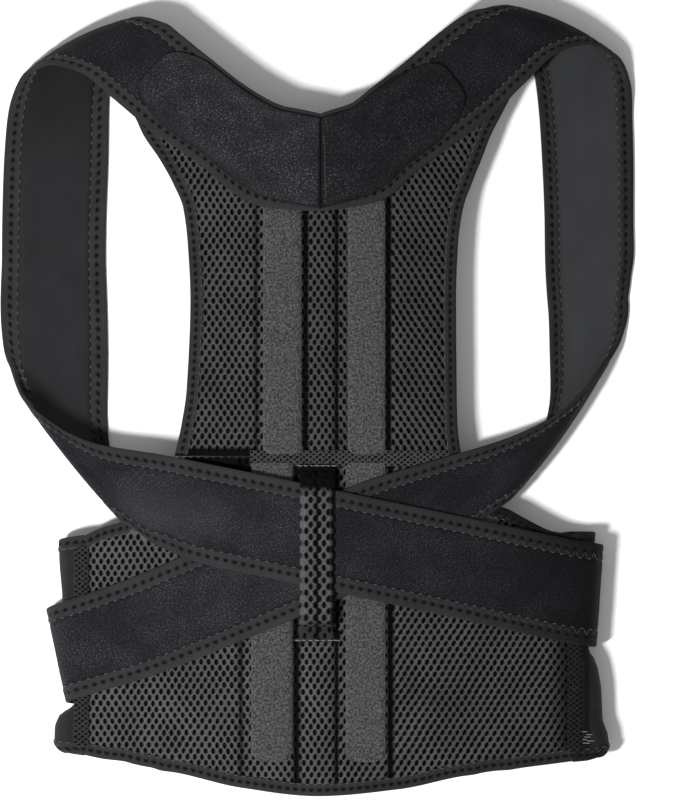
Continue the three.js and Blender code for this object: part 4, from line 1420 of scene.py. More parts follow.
@dataclass
class SpacerCloth:
    """A padded knitted mesh with a pit at each of its staggered holes.

    Its own coordinates are millimetres across and along the flat cloth. clamp moves points from
    outside the cloth onto its outline, plain says where no hole would show, over gives the upper
    face's height and under the lower one's, mount gives the points for coordinates and heights,
    and shade gives the painted shade, how dark the cloth is at least.
    """

    box: tuple[float, float, float, float]
    clamp: Callable[[Array, Array], tuple[Array, Array]]
    plain: Place
    over: Place
    under: float
    mount: Callable[[Array, Array, Array], Array]
    shade: Place
    pitch: float = 4.5
    row: float = 3.55
    neck: float = 1.15
    hole_width: float = 1.02
    hole_height: float = 1.8
    pit: float = 1.5
    slant: float = 0.0
    drift: float = 1.0
    offset: float = 0.0

    def lattice(self) -> tuple[Array, Array]:
        """Returns the numbered outline points of every cell and the cells' centres.

        Points are counted in quarters of the pitch and in four levels a row, so that neighbours
        count a shared point alike.
        """
        left, right, low, high = self.box
        rows = np.arange(math.floor(low / self.row) - 1, math.ceil(high / self.row) + 2)
        places = np.arange(math.floor(left / self.pitch) - 1, math.ceil(right / self.pitch) + 2)
        row, place = (grid.ravel() for grid in np.meshgrid(rows, places, indexing="ij"))
        across = 4 * place + 2 * (row % 2)
        ring_x = np.array([0, -1, -2, -2, -2, -1, 0, 1, 2, 2, 2, 1])
        ring_y = np.array([3, 2, 1, 0, -1, -2, -3, -2, -1, 0, 1, 2])
        numbers = np.stack([across[:, None] + ring_x, 4 * row[:, None] + ring_y], -1)
        return numbers, np.stack([across * self.pitch / 4, row * self.row], -1)

    def level(self, number: Array) -> Array:
        """Returns the height of a counted level, in millimetres."""
        tall = self.row - self.neck
        part = np.array([0, self.neck, self.row / 2, tall])
        return number // 4 * self.row + part[number % 4]

    def warp(self, x: Array, y: Array) -> tuple[Array, Array]:
        """Returns places on the cloth as the knit's slight pull moves them."""
        moved_x = x + self.offset + self.drift * 0.55 * wavy(x, y, 67.0, 0.4)
        return moved_x, y + self.drift * 0.45 * wavy(y, x, 53.0, 2.0)

    def shell(self) -> Shell:
        """Returns the cloth."""
        numbers, centres = self.lattice()
        centre_x, centre_y = self.warp(centres[:, 0], centres[:, 1])
        held_x, held_y = self.clamp(centre_x, centre_y)
        kept = np.hypot(held_x - centre_x, held_y - centre_y) < 1e-6
        numbers = numbers[kept]
        centre_x = centre_x[kept]
        centre_y = centre_y[kept]
        unique, index = np.unique(numbers.reshape(-1, 2), axis=0, return_inverse=True)
        index = index.reshape(numbers.shape[:2])
        free_x, free_y = self.warp(unique[:, 0] * self.pitch / 4, self.level(unique[:, 1]))
        rim_x, rim_y = self.clamp(free_x, free_y)
        moved = np.hypot(rim_x - free_x, rim_y - free_y) > 1e-6
        bare = moved[index].any(axis=1) | self.plain(centre_x, centre_y)
        top = self.mount(rim_x, rim_y, self.over(rim_x, rim_y))
        bottom = self.mount(rim_x, rim_y, np.full(rim_x.shape, self.under))
        open_x = centre_x[~bare][:, None]
        open_y = centre_y[~bare][:, None]
        size = 1 + 0.09 * wavy(open_x, open_y, 5.3, 1.0)
        turn = math.pi / 2 + math.pi / 6 * np.arange(12)
        lean = 0.16 * wavy(open_x, open_y, 41.0) + self.slant * plump(open_x / 60)
        round_x = np.sign(np.cos(turn)) * np.abs(np.cos(turn)) ** 1.35
        reach_x = self.hole_width * size * round_x + lean * self.hole_height * np.sin(turn)
        reach_y = self.hole_height * size * np.sin(turn)
        rings = [(open_x + share * reach_x, open_y + share * reach_y) for share in (1.0, 0.86)]
        sunk = [
            self.mount(x, y, self.over(x, y) - drop).reshape(-1, 3)
            for (x, y), drop in zip(rings, (0.32, self.pit))
        ]
        rim_count = len(unique)
        edge_start = 2 * rim_count
        pit_start = edge_start + len(sunk[0])
        faces = [tuple(face) for face in index[bare].tolist()]
        faces += [tuple(reversed([i + rim_count for i in face])) for face in index.tolist()]
        for cell, rim in enumerate(index[~bare].tolist()):
            edge = edge_start + 12 * cell
            pit = pit_start + 12 * cell
            for k in range(12):
                after = (k + 1) % 12
                faces.append((rim[k], rim[after], edge + after, edge + k))
                faces.append((edge + k, edge + after, pit + after, pit + k))
            faces.append(tuple(range(pit, pit + 12)))
        faces += self.walls(index, rim_count)
        points = np.concatenate([top, bottom, *sunk])
        # The hole walls and floors darken, partly as the inner yarn and partly as painted shade,
        # and shade adds painted shade.
        depth = np.zeros(len(points))
        depth[edge_start:pit_start] = 0.55
        depth[pit_start:] = 1.0
        places = [(rim_x, rim_y), (rim_x, rim_y), *rings]
        all_x, all_y = (np.concatenate([at[i].ravel() for at in places]) for i in (0, 1))
        depth = np.maximum(depth, self.shade(all_x, all_y))
        return Shell(points, faces, points[:, :2].copy(), [0] * len(faces), depth)

    @staticmethod
    def walls(index: Array, lower: int) -> list[tuple[int, ...]]:
        """Returns the faces that close the cloth round its outline.

        Args:
            index: the upper face's cells, as indices of their outline points.
            lower: how far after an upper point its lower one comes.

        Returns:
            One quad for each outline edge that only one cell has.
        """
        ends = np.stack([index, np.roll(index, -1, axis=1)], -1).reshape(-1, 2)
        present = set(map(tuple, ends.tolist()))
        return [(b, a, a + lower, b + lower) for a, b in present if (b, a) not in present]


UPPER_LEFT, UPPER_RIGHT = columns(UPPER_OUTLINE)
LUMBAR_TOP, LUMBAR_HEM = columns(LUMBAR_OUTLINE)
LUMBAR_LEFT = LUMBAR_OUTLINE[0][0] * BRACE_WIDTH
LUMBAR_RIGHT = LUMBAR_OUTLINE[-1][0] * BRACE_WIDTH
JOIN_LEFT = UPPER_OUTLINE[0][1] * BRACE_WIDTH
JOIN_RIGHT = UPPER_OUTLINE[0][2] * BRACE_WIDTH
JOIN_Y = JOIN_HEIGHT * BRACE_LENGTH

# The panels' bindings: their width, their stitch line and how far the panels reach under them.
BINDING_WIDTH = 7.4
BINDING_STITCH_LINE = 3.8
PANEL_TUCK = 3.6

# How near to a crossing strap's middle line it hides the panel, as a share of its width. Between
# rows farther apart than a long run nothing counts as hidden.
HIDDEN_SHARE = 0.36
LONG_RUN = 90.0


def slanted(width: float, edge: Callable[[Array], Array], at: Array) -> Array:
    """Returns a width measured square to an edge as a width along one axis."""
    small = 0.5
    slope = (edge(at + small) - edge(at - small)) / (2 * small)
    return width * np.hypot(1, slope)


@dataclass(frozen=True)
class Quilting:
    """A panel's quilting seams and its pockets' woven faces, measured from the middle channel."""

    centre: float
    seams: tuple[float, float, float, float]
    woven: dict[Side, tuple[float, float]]

    def height(self, x: Array, edge: Array) -> Array:
        """Gives the height of the panel's upper face.

        Args:
            x: places across the panel.
            edge: distances from the panel's nearest bound edge.

        Returns:
            Heights above the panel's middle, in millimetres.
        """
        off = x - self.centre
        seam = np.min([np.abs(off - line) for line in self.seams], axis=0)
        lowered = [(off > self.seams[k]) & (off < self.seams[k + 1]) for k in (0, 2)]
        falling = 1.3 * np.exp(-np.maximum(edge, 0) / 2.4)
        recess = 0.9 * (lowered[0] | lowered[1])
        return PANEL_THICKNESS / 2 - np.maximum(recess, 2.1 * np.exp(-seam / 2.0)) - falling

    def dark(self, x: Array) -> Array:
        """Returns the painted shade in the seams' valleys, from 0 in the open. Every second one is
        deep.
        """
        off = x - self.centre
        shares = zip(self.seams, (0.75, 0.97, 0.85, 0.97), (1.3, 2.1, 1.5, 2.1))
        return np.max([depth * bell(off - line, spread) for line, depth, spread in shares], axis=0)

    def covered(self, x: Array) -> Array:
        """Tells where a pocket's woven face hides the panel that it is sewn on."""
        off = x - self.centre
        (a, b), (c, d) = self.woven.values()
        return ((off > a + 1) & (off < b - 1)) | ((off > c + 1) & (off < d - 1))


UPPER_QUILTING = Quilting(
    UPPER_CHANNEL_CENTRE,
    (-39.3, -9.9, 8.7, 39.9),
    {Side.LEFT: (-35.1, -12.3), Side.RIGHT: (15.6, 37.8)},
)
LUMBAR_QUILTING = Quilting(
    LUMBAR_CHANNEL_CENTRE,
    (-44.7, -11.7, 12.3, 44.7),
    {Side.LEFT: (-38.7, -14.1), Side.RIGHT: (18.0, 41.7)},
)


def flat_mount(x: Array, y: Array, height: Array) -> Array:
    """Returns the points of a panel that lies flat on the brace, above the panels' middle."""
    return droop(np.stack([x, y, PANEL_MID + height], -1))


def under_strap(x: Array, y: Array) -> Array:
    """Tells where a crossing strap hides the waist panel."""
    hidden = np.zeros(np.broadcast(x, y).shape, bool)
    for route in (LEFT_ROUTE, RIGHT_ROUTE):
        upper = [line for line in route if line.z >= CROSS_MID]
        for before, after in zip(upper, upper[1:]):
            start = np.array([before.x * BRACE_WIDTH, before.y * BRACE_LENGTH])
            run = np.array([after.x * BRACE_WIDTH, after.y * BRACE_LENGTH]) - start
            length = math.hypot(*run)
            if length > LONG_RUN:
                continue
            share = np.clip(((x - start[0]) * run[0] + (y - start[1]) * run[1]) / length**2, 0, 1)
            off = np.hypot(x - start[0] - share * run[0], y - start[1] - share * run[1])
            hidden |= off < HIDDEN_SHARE * STRAP_WIDTH * min(before.wide, after.wide)
    return hidden


def narrow_tape(
    line: EdgeLine,
    width: float,
    dimple_at: float,
    inner_at: float,
    dimple_depth: float,
    shaded: float,
) -> StitchedTape:
    """Gives a tape of the panels or the belt.

    Args:
        line: the edge that it is folded over.
        width: its width in millimetres.
        dimple_at: how far in from the edge its needle dimples lie.
        inner_at: how far in its inner stitches lie.
        dimple_depth: how deep the dimples are.
        shaded: how dark it is where other pieces keep the light off.

    Returns:
        The tape.
    """
    sizes = (width, PANEL_TAPE_THICKNESS, dimple_at, inner_at, 4.8, dimple_depth, 0.2)
    return StitchedTape(line, *sizes, away=lambda _: shaded)


def binding(line: EdgeLine, shaded: float = 0.0) -> StitchedTape:
    """Returns a panel's binding along its edge."""
    width = BINDING_WIDTH
    return narrow_tape(line, width, 0.52 * width, 0.93 * width, 0.42, shaded)


def sew(tape: StitchedTape, name: str, slot: str, *nodes: str) -> list[Object]:
    """Makes one tape with its stitches.

    Args:
        tape: the tape.
        name: its name.
        slot: the record's material slot.
        nodes: the CAD nodes that it stands for.

    Returns:
        The tape and its thread.
    """
    piece = settle(tape.shell().piece(name, Cloth.EDGE_TAPE), slot, *nodes)
    return [piece, settle(tape.zigzag().piece(f"{name}_stitches", *TAPE_THREADS), slot)]


class MeshPanel:
    """What the quilted mesh panels share. Their own methods say where and how dark the mesh is."""

    def mesh(self, box: tuple[float, float, float, float], name: str, node: str) -> Object:
        """Makes the panel's mesh.

        Args:
            box: the panel's left, right, low and high sides, in millimetres.
            name: the piece's name.
            node: the CAD node that it stands for.

        Returns:
            The mesh.
        """
        faces = (self.over, -PANEL_THICKNESS / 2)
        cloth = SpacerCloth(
            box, self.clamp, self.hidden, *faces, flat_mount, self.shade, slant=self.slant
        )
        return settle(cloth.shell().piece(name, Cloth.SPACER_YARN), "spacer_mesh", node)


@dataclass
class UpperPanel(MeshPanel):
    """The quilted mesh panel between the shoulder blades, with its two armhole bindings."""

    head: float = UPPER_OUTLINE[-1][0]
    pocket_head: float = 0.74
    foot_shade: float = 0.97
    open_shade: float = 0.2
    slant: float = -0.3

    def left(self, y: Array) -> Array:
        """Returns the left armhole edge at a height."""
        return UPPER_LEFT(y / BRACE_LENGTH) * BRACE_WIDTH

    def right(self, y: Array) -> Array:
        """Returns the right armhole edge at a height."""
        return UPPER_RIGHT(y / BRACE_LENGTH) * BRACE_WIDTH

    def clamp(self, x: Array, y: Array) -> tuple[Array, Array]:
        """Returns places moved onto the panel, whose edges reach under the bindings."""
        half = (self.right(y) - self.left(y)) / 2
        share = np.clip((x - self.left(y)) / half - 1, -1, 1)
        top = (self.head - UPPER_TOP_DIP * (1 - share**2)) * BRACE_LENGTH
        held_y = np.clip(y, JOIN_Y + EDGE_GAP / 2, top)
        low = self.left(held_y) + slanted(BINDING_WIDTH - PANEL_TUCK, self.left, held_y)
        high = self.right(held_y) - slanted(BINDING_WIDTH - PANEL_TUCK, self.right, held_y)
        return np.clip(x, low, high), held_y

    def over(self, x: Array, y: Array) -> Array:
        """Returns the upper face's height above the panel's middle."""
        edge = np.minimum(x - self.left(y), self.right(y) - x) - BINDING_WIDTH
        return UPPER_QUILTING.height(x, edge) + 0.12 * wavy(x, y, 44.0)

    def hidden(self, x: Array, y: Array) -> Array:
        """Tells where the pockets or the yoke hide the panel."""
        pocket = UPPER_QUILTING.covered(x) & (y < self.pocket_head * BRACE_LENGTH)
        return pocket | under_strap(x, y)

    def shade(self, x: Array, y: Array) -> Array:
        """Returns the painted shade in the seams' valleys and the painted shadow at the panel's
        foot, over a slight darkening of the whole panel.
        """
        foot = self.foot_shade * ramp(y, JOIN_Y + 6.5, JOIN_Y + 3.5) * (x < -36)
        return np.max([UPPER_QUILTING.dark(x), foot, 0 * x + self.open_shade], axis=0)

    def build(self) -> None:
        """Makes and dresses the panel and its bindings."""
        box = (-0.33 * BRACE_WIDTH, 0.33 * BRACE_WIDTH, JOIN_Y, 0.9 * BRACE_LENGTH)
        panel = self.mesh(box, "back_mesh", "upper_panel")
        trims = [piece for side in Side for piece in self.bind(side)]
        ys = np.linspace(JOIN_Y, self.head * BRACE_LENGTH, 200)
        widths = self.right(ys) - self.left(ys)

    def bind(self, side: Side) -> list[Object]:
        """Makes the binding along one armhole."""
        edge = self.left if side is Side.LEFT else self.right

        def point(y: Array, inward: Array) -> Array:
            """Returns points by their height and their distance in from the armhole."""
            x = edge(y) - side.value * inward * slanted(1.0, edge, y)
            return flat_mount(x, y + 0 * x, 0.12 * wavy(x, y, 23.0))

        span = (JOIN_Y + EDGE_GAP / 2, self.head * BRACE_LENGTH)
        tape = binding(EdgeLine(point, *span, BINDING_STITCH_LINE))
        return sew(tape, f"armhole_tape_{side.word}", "edge_tape", f"armhole_binding_{side.word}")


@dataclass
class LumbarPanel(MeshPanel):
    """The wide quilted mesh panel at the waist, with its bindings and the join above it."""

    pocket_foot: float = 0.07
    head_shade: float = 0.95
    side_shade: float = 0.7
    shaded_side: tuple[float, float] = (136.0, 150.0)
    slant: float = 0.3

    def top(self, x: Array) -> Array:
        """Returns the upper edge at a place across."""
        return LUMBAR_TOP(x / BRACE_WIDTH) * BRACE_LENGTH

    def hem(self, x: Array) -> Array:
        """Returns the lower edge at a place across."""
        return LUMBAR_HEM(x / BRACE_WIDTH) * BRACE_LENGTH

    def joined(self, x: Array) -> Array:
        """Tells where the upper panel is sewn on, so that the edge has no binding."""
        return (x > JOIN_LEFT) & (x < JOIN_RIGHT)

    def clamp(self, x: Array, y: Array) -> tuple[Array, Array]:
        """Returns places moved onto the panel, whose edges reach under the bindings."""
        held_x = np.clip(x, LUMBAR_LEFT, LUMBAR_RIGHT)
        low = self.hem(held_x) + slanted(BINDING_WIDTH - PANEL_TUCK, self.hem, held_x)
        bound = self.top(held_x) - slanted(BINDING_WIDTH - PANEL_TUCK, self.top, held_x)
        high = np.where(self.joined(held_x), JOIN_Y - EDGE_GAP / 2, bound)
        return held_x, np.clip(y, low, high)

    def over(self, x: Array, y: Array) -> Array:
        """Returns the upper face's height above the panel's middle."""
        above = np.where(self.joined(x), 30.0, self.top(x) - y)
        edge = np.minimum(above, y - self.hem(x)) - BINDING_WIDTH
        edge = np.minimum(edge, np.minimum(x - LUMBAR_LEFT, LUMBAR_RIGHT - x) - 2)
        return LUMBAR_QUILTING.height(x, edge) + 0.15 * wavy(x, y, 48.0, 1.0)

    def hidden(self, x: Array, y: Array) -> Array:
        """Tells where the pockets or the crossed straps hide the panel."""
        pocket = LUMBAR_QUILTING.covered(x) & (y > self.pocket_foot * BRACE_LENGTH)
        return pocket | under_strap(x, y)

    def shade(self, x: Array, y: Array) -> Array:
        """Returns the painted shade in the seams' valleys and at the right side, and the painted
        shadow at the head's left.
        """
        head = self.head_shade * (y > JOIN_Y - 14) * (x < -38)
        side = self.side_shade * ramp(x, *self.shaded_side)
        return np.max([LUMBAR_QUILTING.dark(x), head, side], axis=0)

    def build(self) -> None:
        """Makes and dresses the panel, its bindings and the band over its join."""
        box = (LUMBAR_LEFT, LUMBAR_RIGHT, 0, JOIN_Y)
        panel = self.mesh(box, "waist_mesh", "lumbar_panel")
        ends = (LUMBAR_LEFT - 0.7, LUMBAR_RIGHT + 0.7)
        trims = sew(self.bound(self.hem, 1, ends), "hem_tape", "edge_tape", "hem_binding")
        for side, span in ((Side.LEFT, (ends[0], JOIN_LEFT)), (Side.RIGHT, (JOIN_RIGHT, ends[1]))):
            tape = self.bound(self.top, -1, span, PAINTED_SHADE[side].waist_tape)
            trims += sew(tape, f"waist_tape_{side.word}", "edge_tape", f"waist_binding_{side.word}")
        xs = np.linspace(LUMBAR_LEFT, LUMBAR_RIGHT, 400)
        heights = self.top(xs) - self.hem(xs)
        self.join_band()

    def bound(
        self,
        edge: Callable[[Array], Array],
        inward_sign: int,
        span: tuple[float, float],
        shaded: float = 0.0,
    ) -> StitchedTape:
        """Returns the binding along one stretch of the panel's edge."""

        def point(x: Array, inward: Array) -> Array:
            """Returns points by their place across and their distance in from the edge."""
            y = edge(x) + inward_sign * (EDGE_GAP / 2 + inward * slanted(1.0, edge, x))
            return flat_mount(x + 0 * y, y, 0.12 * wavy(x, y, 23.0))

        return binding(EdgeLine(point, *span, BINDING_STITCH_LINE), shaded)

    def join_band(self) -> None:
        """Makes the dense overlocked band over the join of the two panels."""
        us = np.linspace(-41.0, JOIN_RIGHT - 7, 81)
        low, high = -6.0, 3.6
        middle = [-3.0, -1.2, 0.6]
        vs = JOIN_Y + np.array([low, low + 0.3, low + 1.2, *middle, high - 1.2, high - 0.3, high])

        def place(x: Array, y: Array) -> Array:
            """Returns points of the band's middle."""
            recess = LUMBAR_QUILTING.height(x, np.full(np.shape(x), 30.0))
            return flat_mount(x, y, 0.35 * recess + 1.25)

        def half(x: Array, y: Array) -> Array:
            """Returns half the band's thickness."""
            inside = np.minimum(y - JOIN_Y - low, high - y + JOIN_Y)
            return 0.25 + 0.45 * plump(inside / 1.6) + 0.12 * wavy(x, y, 3.1)

        piece = woven_shell(place, us, vs, 0.3, half).piece("join_overlock", Cloth.OVERLOCK)
        settle(piece, "spacer_mesh")


@dataclass
class StayPocket:
    """A woven pocket for a stay, sewn into a panel's recessed channel."""

    name: str
    quilting: Quilting
    side: Side
    foot: float
    head: float
    on: str
    round_end: float = 7.0

    def build(self) -> None:
        """Makes and dresses the pocket."""
        left, right = self.quilting.woven[self.side]
        half = (right - left) / 2
        middle = self.quilting.centre + (left + right) / 2
        low = self.foot * BRACE_LENGTH
        high = self.head * BRACE_LENGTH

        def place(u: Array, v: Array) -> Array:
            """Returns points of the pocket's middle surface for -1 to 1 across and 0 to 1 up."""
            across = np.clip(u, -1, 1)
            start = low + self.round_end * (1 - np.sqrt(np.maximum(1 - across**4, 0)))
            x = middle + u * half
            y = start + (high - start) * v
            tuck = 0.95 * np.exp(-(1 - np.abs(across)) * half / 1.5)
            foot_tuck = 0.5 * np.exp(-np.maximum(v, 0) * (high - low) / 1.1)
            height = POCKET_MID + 0.35 * (1 - across**4) - tuck - foot_tuck
            height = height + 0.18 * wavy(x, y, 37.0)
            return droop(np.stack([x, y, height], -1))

        def thick(u: Array, v: Array) -> Array:
            """Returns half the pocket's thickness."""
            return POCKET_THICKNESS / 2 * (0.45 + 0.55 * plump((1 - np.abs(u)) * half / 1.4))

        us = crowded(33)
        vs = np.concatenate([[0, 0.004, 0.01, 0.02, 0.035], np.linspace(0.05, 1, 60)])
        made = woven_shell(place, us, vs, 1e-3, thick)
        # near_left marks the slanted loops by the left edge; both tucked edges get painted shade.
        near_left = np.clip(0.75 - (us + 1) * half / 6, 0, 0.75)
        tucked_edge_shade = np.maximum(np.exp(-(1 - us) * half / 1.1), np.exp(-(1 + us) * half / 0.8))
        made.depth = np.tile(np.repeat(np.maximum(near_left, tucked_edge_shade), len(vs)), 2)
        piece = settle(made.piece(self.name, Cloth.POCKET_WEAVE), "pocket_weave", self.name)
        count = round((high - low - 8) / 2.6)
        starts = (np.arange(count) + 0.2) / count * 0.96 + 0.03
        ends = starts + 0.62 / count
        rows = []
        for side in (-1, 1):
            us = np.full((count, 2), side * (1 - 1.5 / half))
            rows.append(running_stitches(place, us, np.stack([starts, ends], 1), 0.62, 0.17))
        thread = join_shells(rows).piece(f"{self.name}_stitches", Cloth.SEWING_THREAD)
        settle(thread, "pocket_weave")


@dataclass
class YokeSeam:
    """The seam that joins the straps at the yoke's middle, with stitches along its right side."""

    left: Strap
    right: YokeTab
    half_width: float = 1.0

    def build(self) -> None:
        """Makes and dresses the seam."""
        reach = self.left.width / 2 - 0.5

        def place(u: Array, v: Array) -> Array:
            """Returns points of the seam's middle, across it and along it."""
            point = self.left.point(0 * u, v + 0 * u)
            point[..., 0] += u + EDGE_GAP / 2
            return point

        us = np.linspace(-self.half_width, self.half_width, 5)
        vs = np.linspace(-reach, reach, 41)
        shell = woven_shell(place, us, vs, 0.1, even(0.36 * STRAP_THICKNESS))
        seam = settle(shell.piece("yoke_seam", Cloth.HOOK_PILE), "strap_cloth")
        starts = np.linspace(-0.9, 0.5, 26)
        ends = starts + 0.034
        along = np.full((26, 2), 0.024)
        rise = TAB_THICKNESS / 2
        stitches = running_stitches(self.right.point, along, np.stack([starts, ends], 1), rise, 0.2)
        thread = settle(stitches.piece("yoke_stitches", Cloth.EDGE_THREAD), "strap_cloth")


@dataclass
class Keeper:
    """The mesh loop over the crossed straps, sewn down at its two feet."""

    x: float = -0.0015 * BRACE_WIDTH
    y: float = 0.315 * BRACE_LENGTH
    reach: float = 0.66 * STRAP_WIDTH
    slope: float = 5.0
    # How dark the middle seam is, and the painted shade on the turned side.
    seam_shade: float = 0.97
    head_shade: float = 0.98
    foot_shade: float = 0.54
    path: tuple[Curve, Curve] = field(init=False)
    length: float = field(init=False)

    def __post_init__(self) -> None:
        """Measures the loop from its lower foot to its upper one."""
        top = self.y + self.reach
        low = self.y - self.reach
        foot, head = low - self.slope, top + self.slope
        ys = (foot - 9, foot, low, top, head, head + 4)
        zs = (KEEPER_FOOT_MID,) * 2 + (KEEPER_MID,) * 2 + (KEEPER_FOOT_MID,) * 2
        along = [Curve(range(6), ys), Curve(range(6), zs)]
        steps = np.linspace(0, 5, 1201)
        y, z = along[0](steps), along[1](steps)
        run = np.concatenate([[0], np.hypot(np.diff(y), np.diff(z)).cumsum()])
        self.path = (Curve(run[::5], y[::5]), Curve(run[::5], z[::5]))
        self.length = float(run[-1])

    def mount(self, x: Array, along: Array, height: Array) -> Array:
        """Returns points for a place across, a place along the loop and a height above it."""
        y, z = self.path[0](along), self.path[1](along)
        back, ahead = np.clip(along - 0.4, 0, self.length), np.clip(along + 0.4, 0, self.length)
        rise = self.path[1](ahead) - self.path[1](back)
        run = self.path[0](ahead) - self.path[0](back)
        size = np.maximum(np.hypot(rise, run), 1e-9)
        flare = 1 + 0.24 * np.exp(-(along / 8)) + 0.06 * np.exp(-(self.length - along) / 5)
        point = [self.x + x * flare, y - height * rise / size, z + height * run / size]
        return droop(np.stack(np.broadcast_arrays(*point), -1))

    def build(self) -> None:
        """Makes and dresses the keeper, its folded foot and its bars of thread."""
        half = KEEPER_WIDTH / 2
        box = (-half, half, 0, self.length)

        def clamp(x: Array, y: Array) -> tuple[Array, Array]:
            """Returns places moved onto the loop."""
            return np.clip(x, -half, half), np.clip(y, 0, self.length)

        def over(x: Array, y: Array) -> Array:
            """Returns the upper face's height above the loop's middle."""
            rim = 0.6 * np.exp(-(half - np.abs(x)) / 0.9)
            side = 0.6 * ramp(x, 7.2, 10.2)
            return KEEPER_THICKNESS / 2 + 0.35 - 1.3 * bell(x, 0.9) - rim - side

        def shut(x: Array, y: Array) -> Array:
            """Tells where the loop is folded and sewn flat."""
            return (y < 1.5) | (y > self.length - 3)

        def shade(x: Array, y: Array) -> Array:
            """Returns the dark middle seam, painted shade on the turned side and the sloping head,
            and the darker foot.
            """
            seam = self.seam_shade * bell(x, 0.9)
            side = self.seam_shade * ramp(x, 6.9, 8.5)
            head = self.head_shade * ramp(y, self.length - 22, self.length - 15)
            foot = self.foot_shade * ramp(y, 24, 8)
            return np.max([seam, side, head, foot], axis=0)

        cloth = SpacerCloth(
            box, clamp, shut, over, -KEEPER_THICKNESS / 2, self.mount, shade, pitch=5.25, row=3.7,
            hole_width=1.1, hole_height=1.95, pit=0.9, drift=0.0, offset=1.31,
        )
        piece = cloth.shell().piece("keeper_mesh", Cloth.SPACER_YARN)
        settle(piece, "spacer_mesh", "strap_keeper")

        def top(x: Array, y: Array) -> Array:
            """Returns points of the keeper's upper face."""
            return self.mount(x, y, np.full(np.broadcast(x, y).shape, 0.8))

        starts = np.linspace(-half - 0.6, half - 2.6, 7)
        us = np.stack([starts, starts + 2.7], 1)
        lean = np.array([0.12, -0.12])
        rows = [np.full((7, 2), along) + lean for along in (0.9, self.length - 0.8)]
        bars = join_shells([running_stitches(top, us, vs, 0.15, 0.27) for vs in rows])
        thread = settle(bars.piece("keeper_bars", Cloth.BAR_TACK_THREAD), "spacer_mesh")


@dataclass(frozen=True)
class FoldLine:
    """Where a strap turns round the belt's side: its middle, its direction and its width."""

    x: float
    y: float
    turn: float
    wide: float


# The bar tack on the right half's elastic: (from, to, height), the first two as shares of the way
# from the seam to the fold, the height as a share of the brace's length.
BAR_TACK_ROWS = (
    (0.42, 0.74, 0.0838),
    (0.60, 0.98, 0.0802),
    (0.50, 0.86, 0.0770),
    (0.38, 0.70, 0.0738),
    (0.62, 1.00, 0.0722),
    (0.42, 0.80, 0.0694),
)
TACK_REACH = 10.0


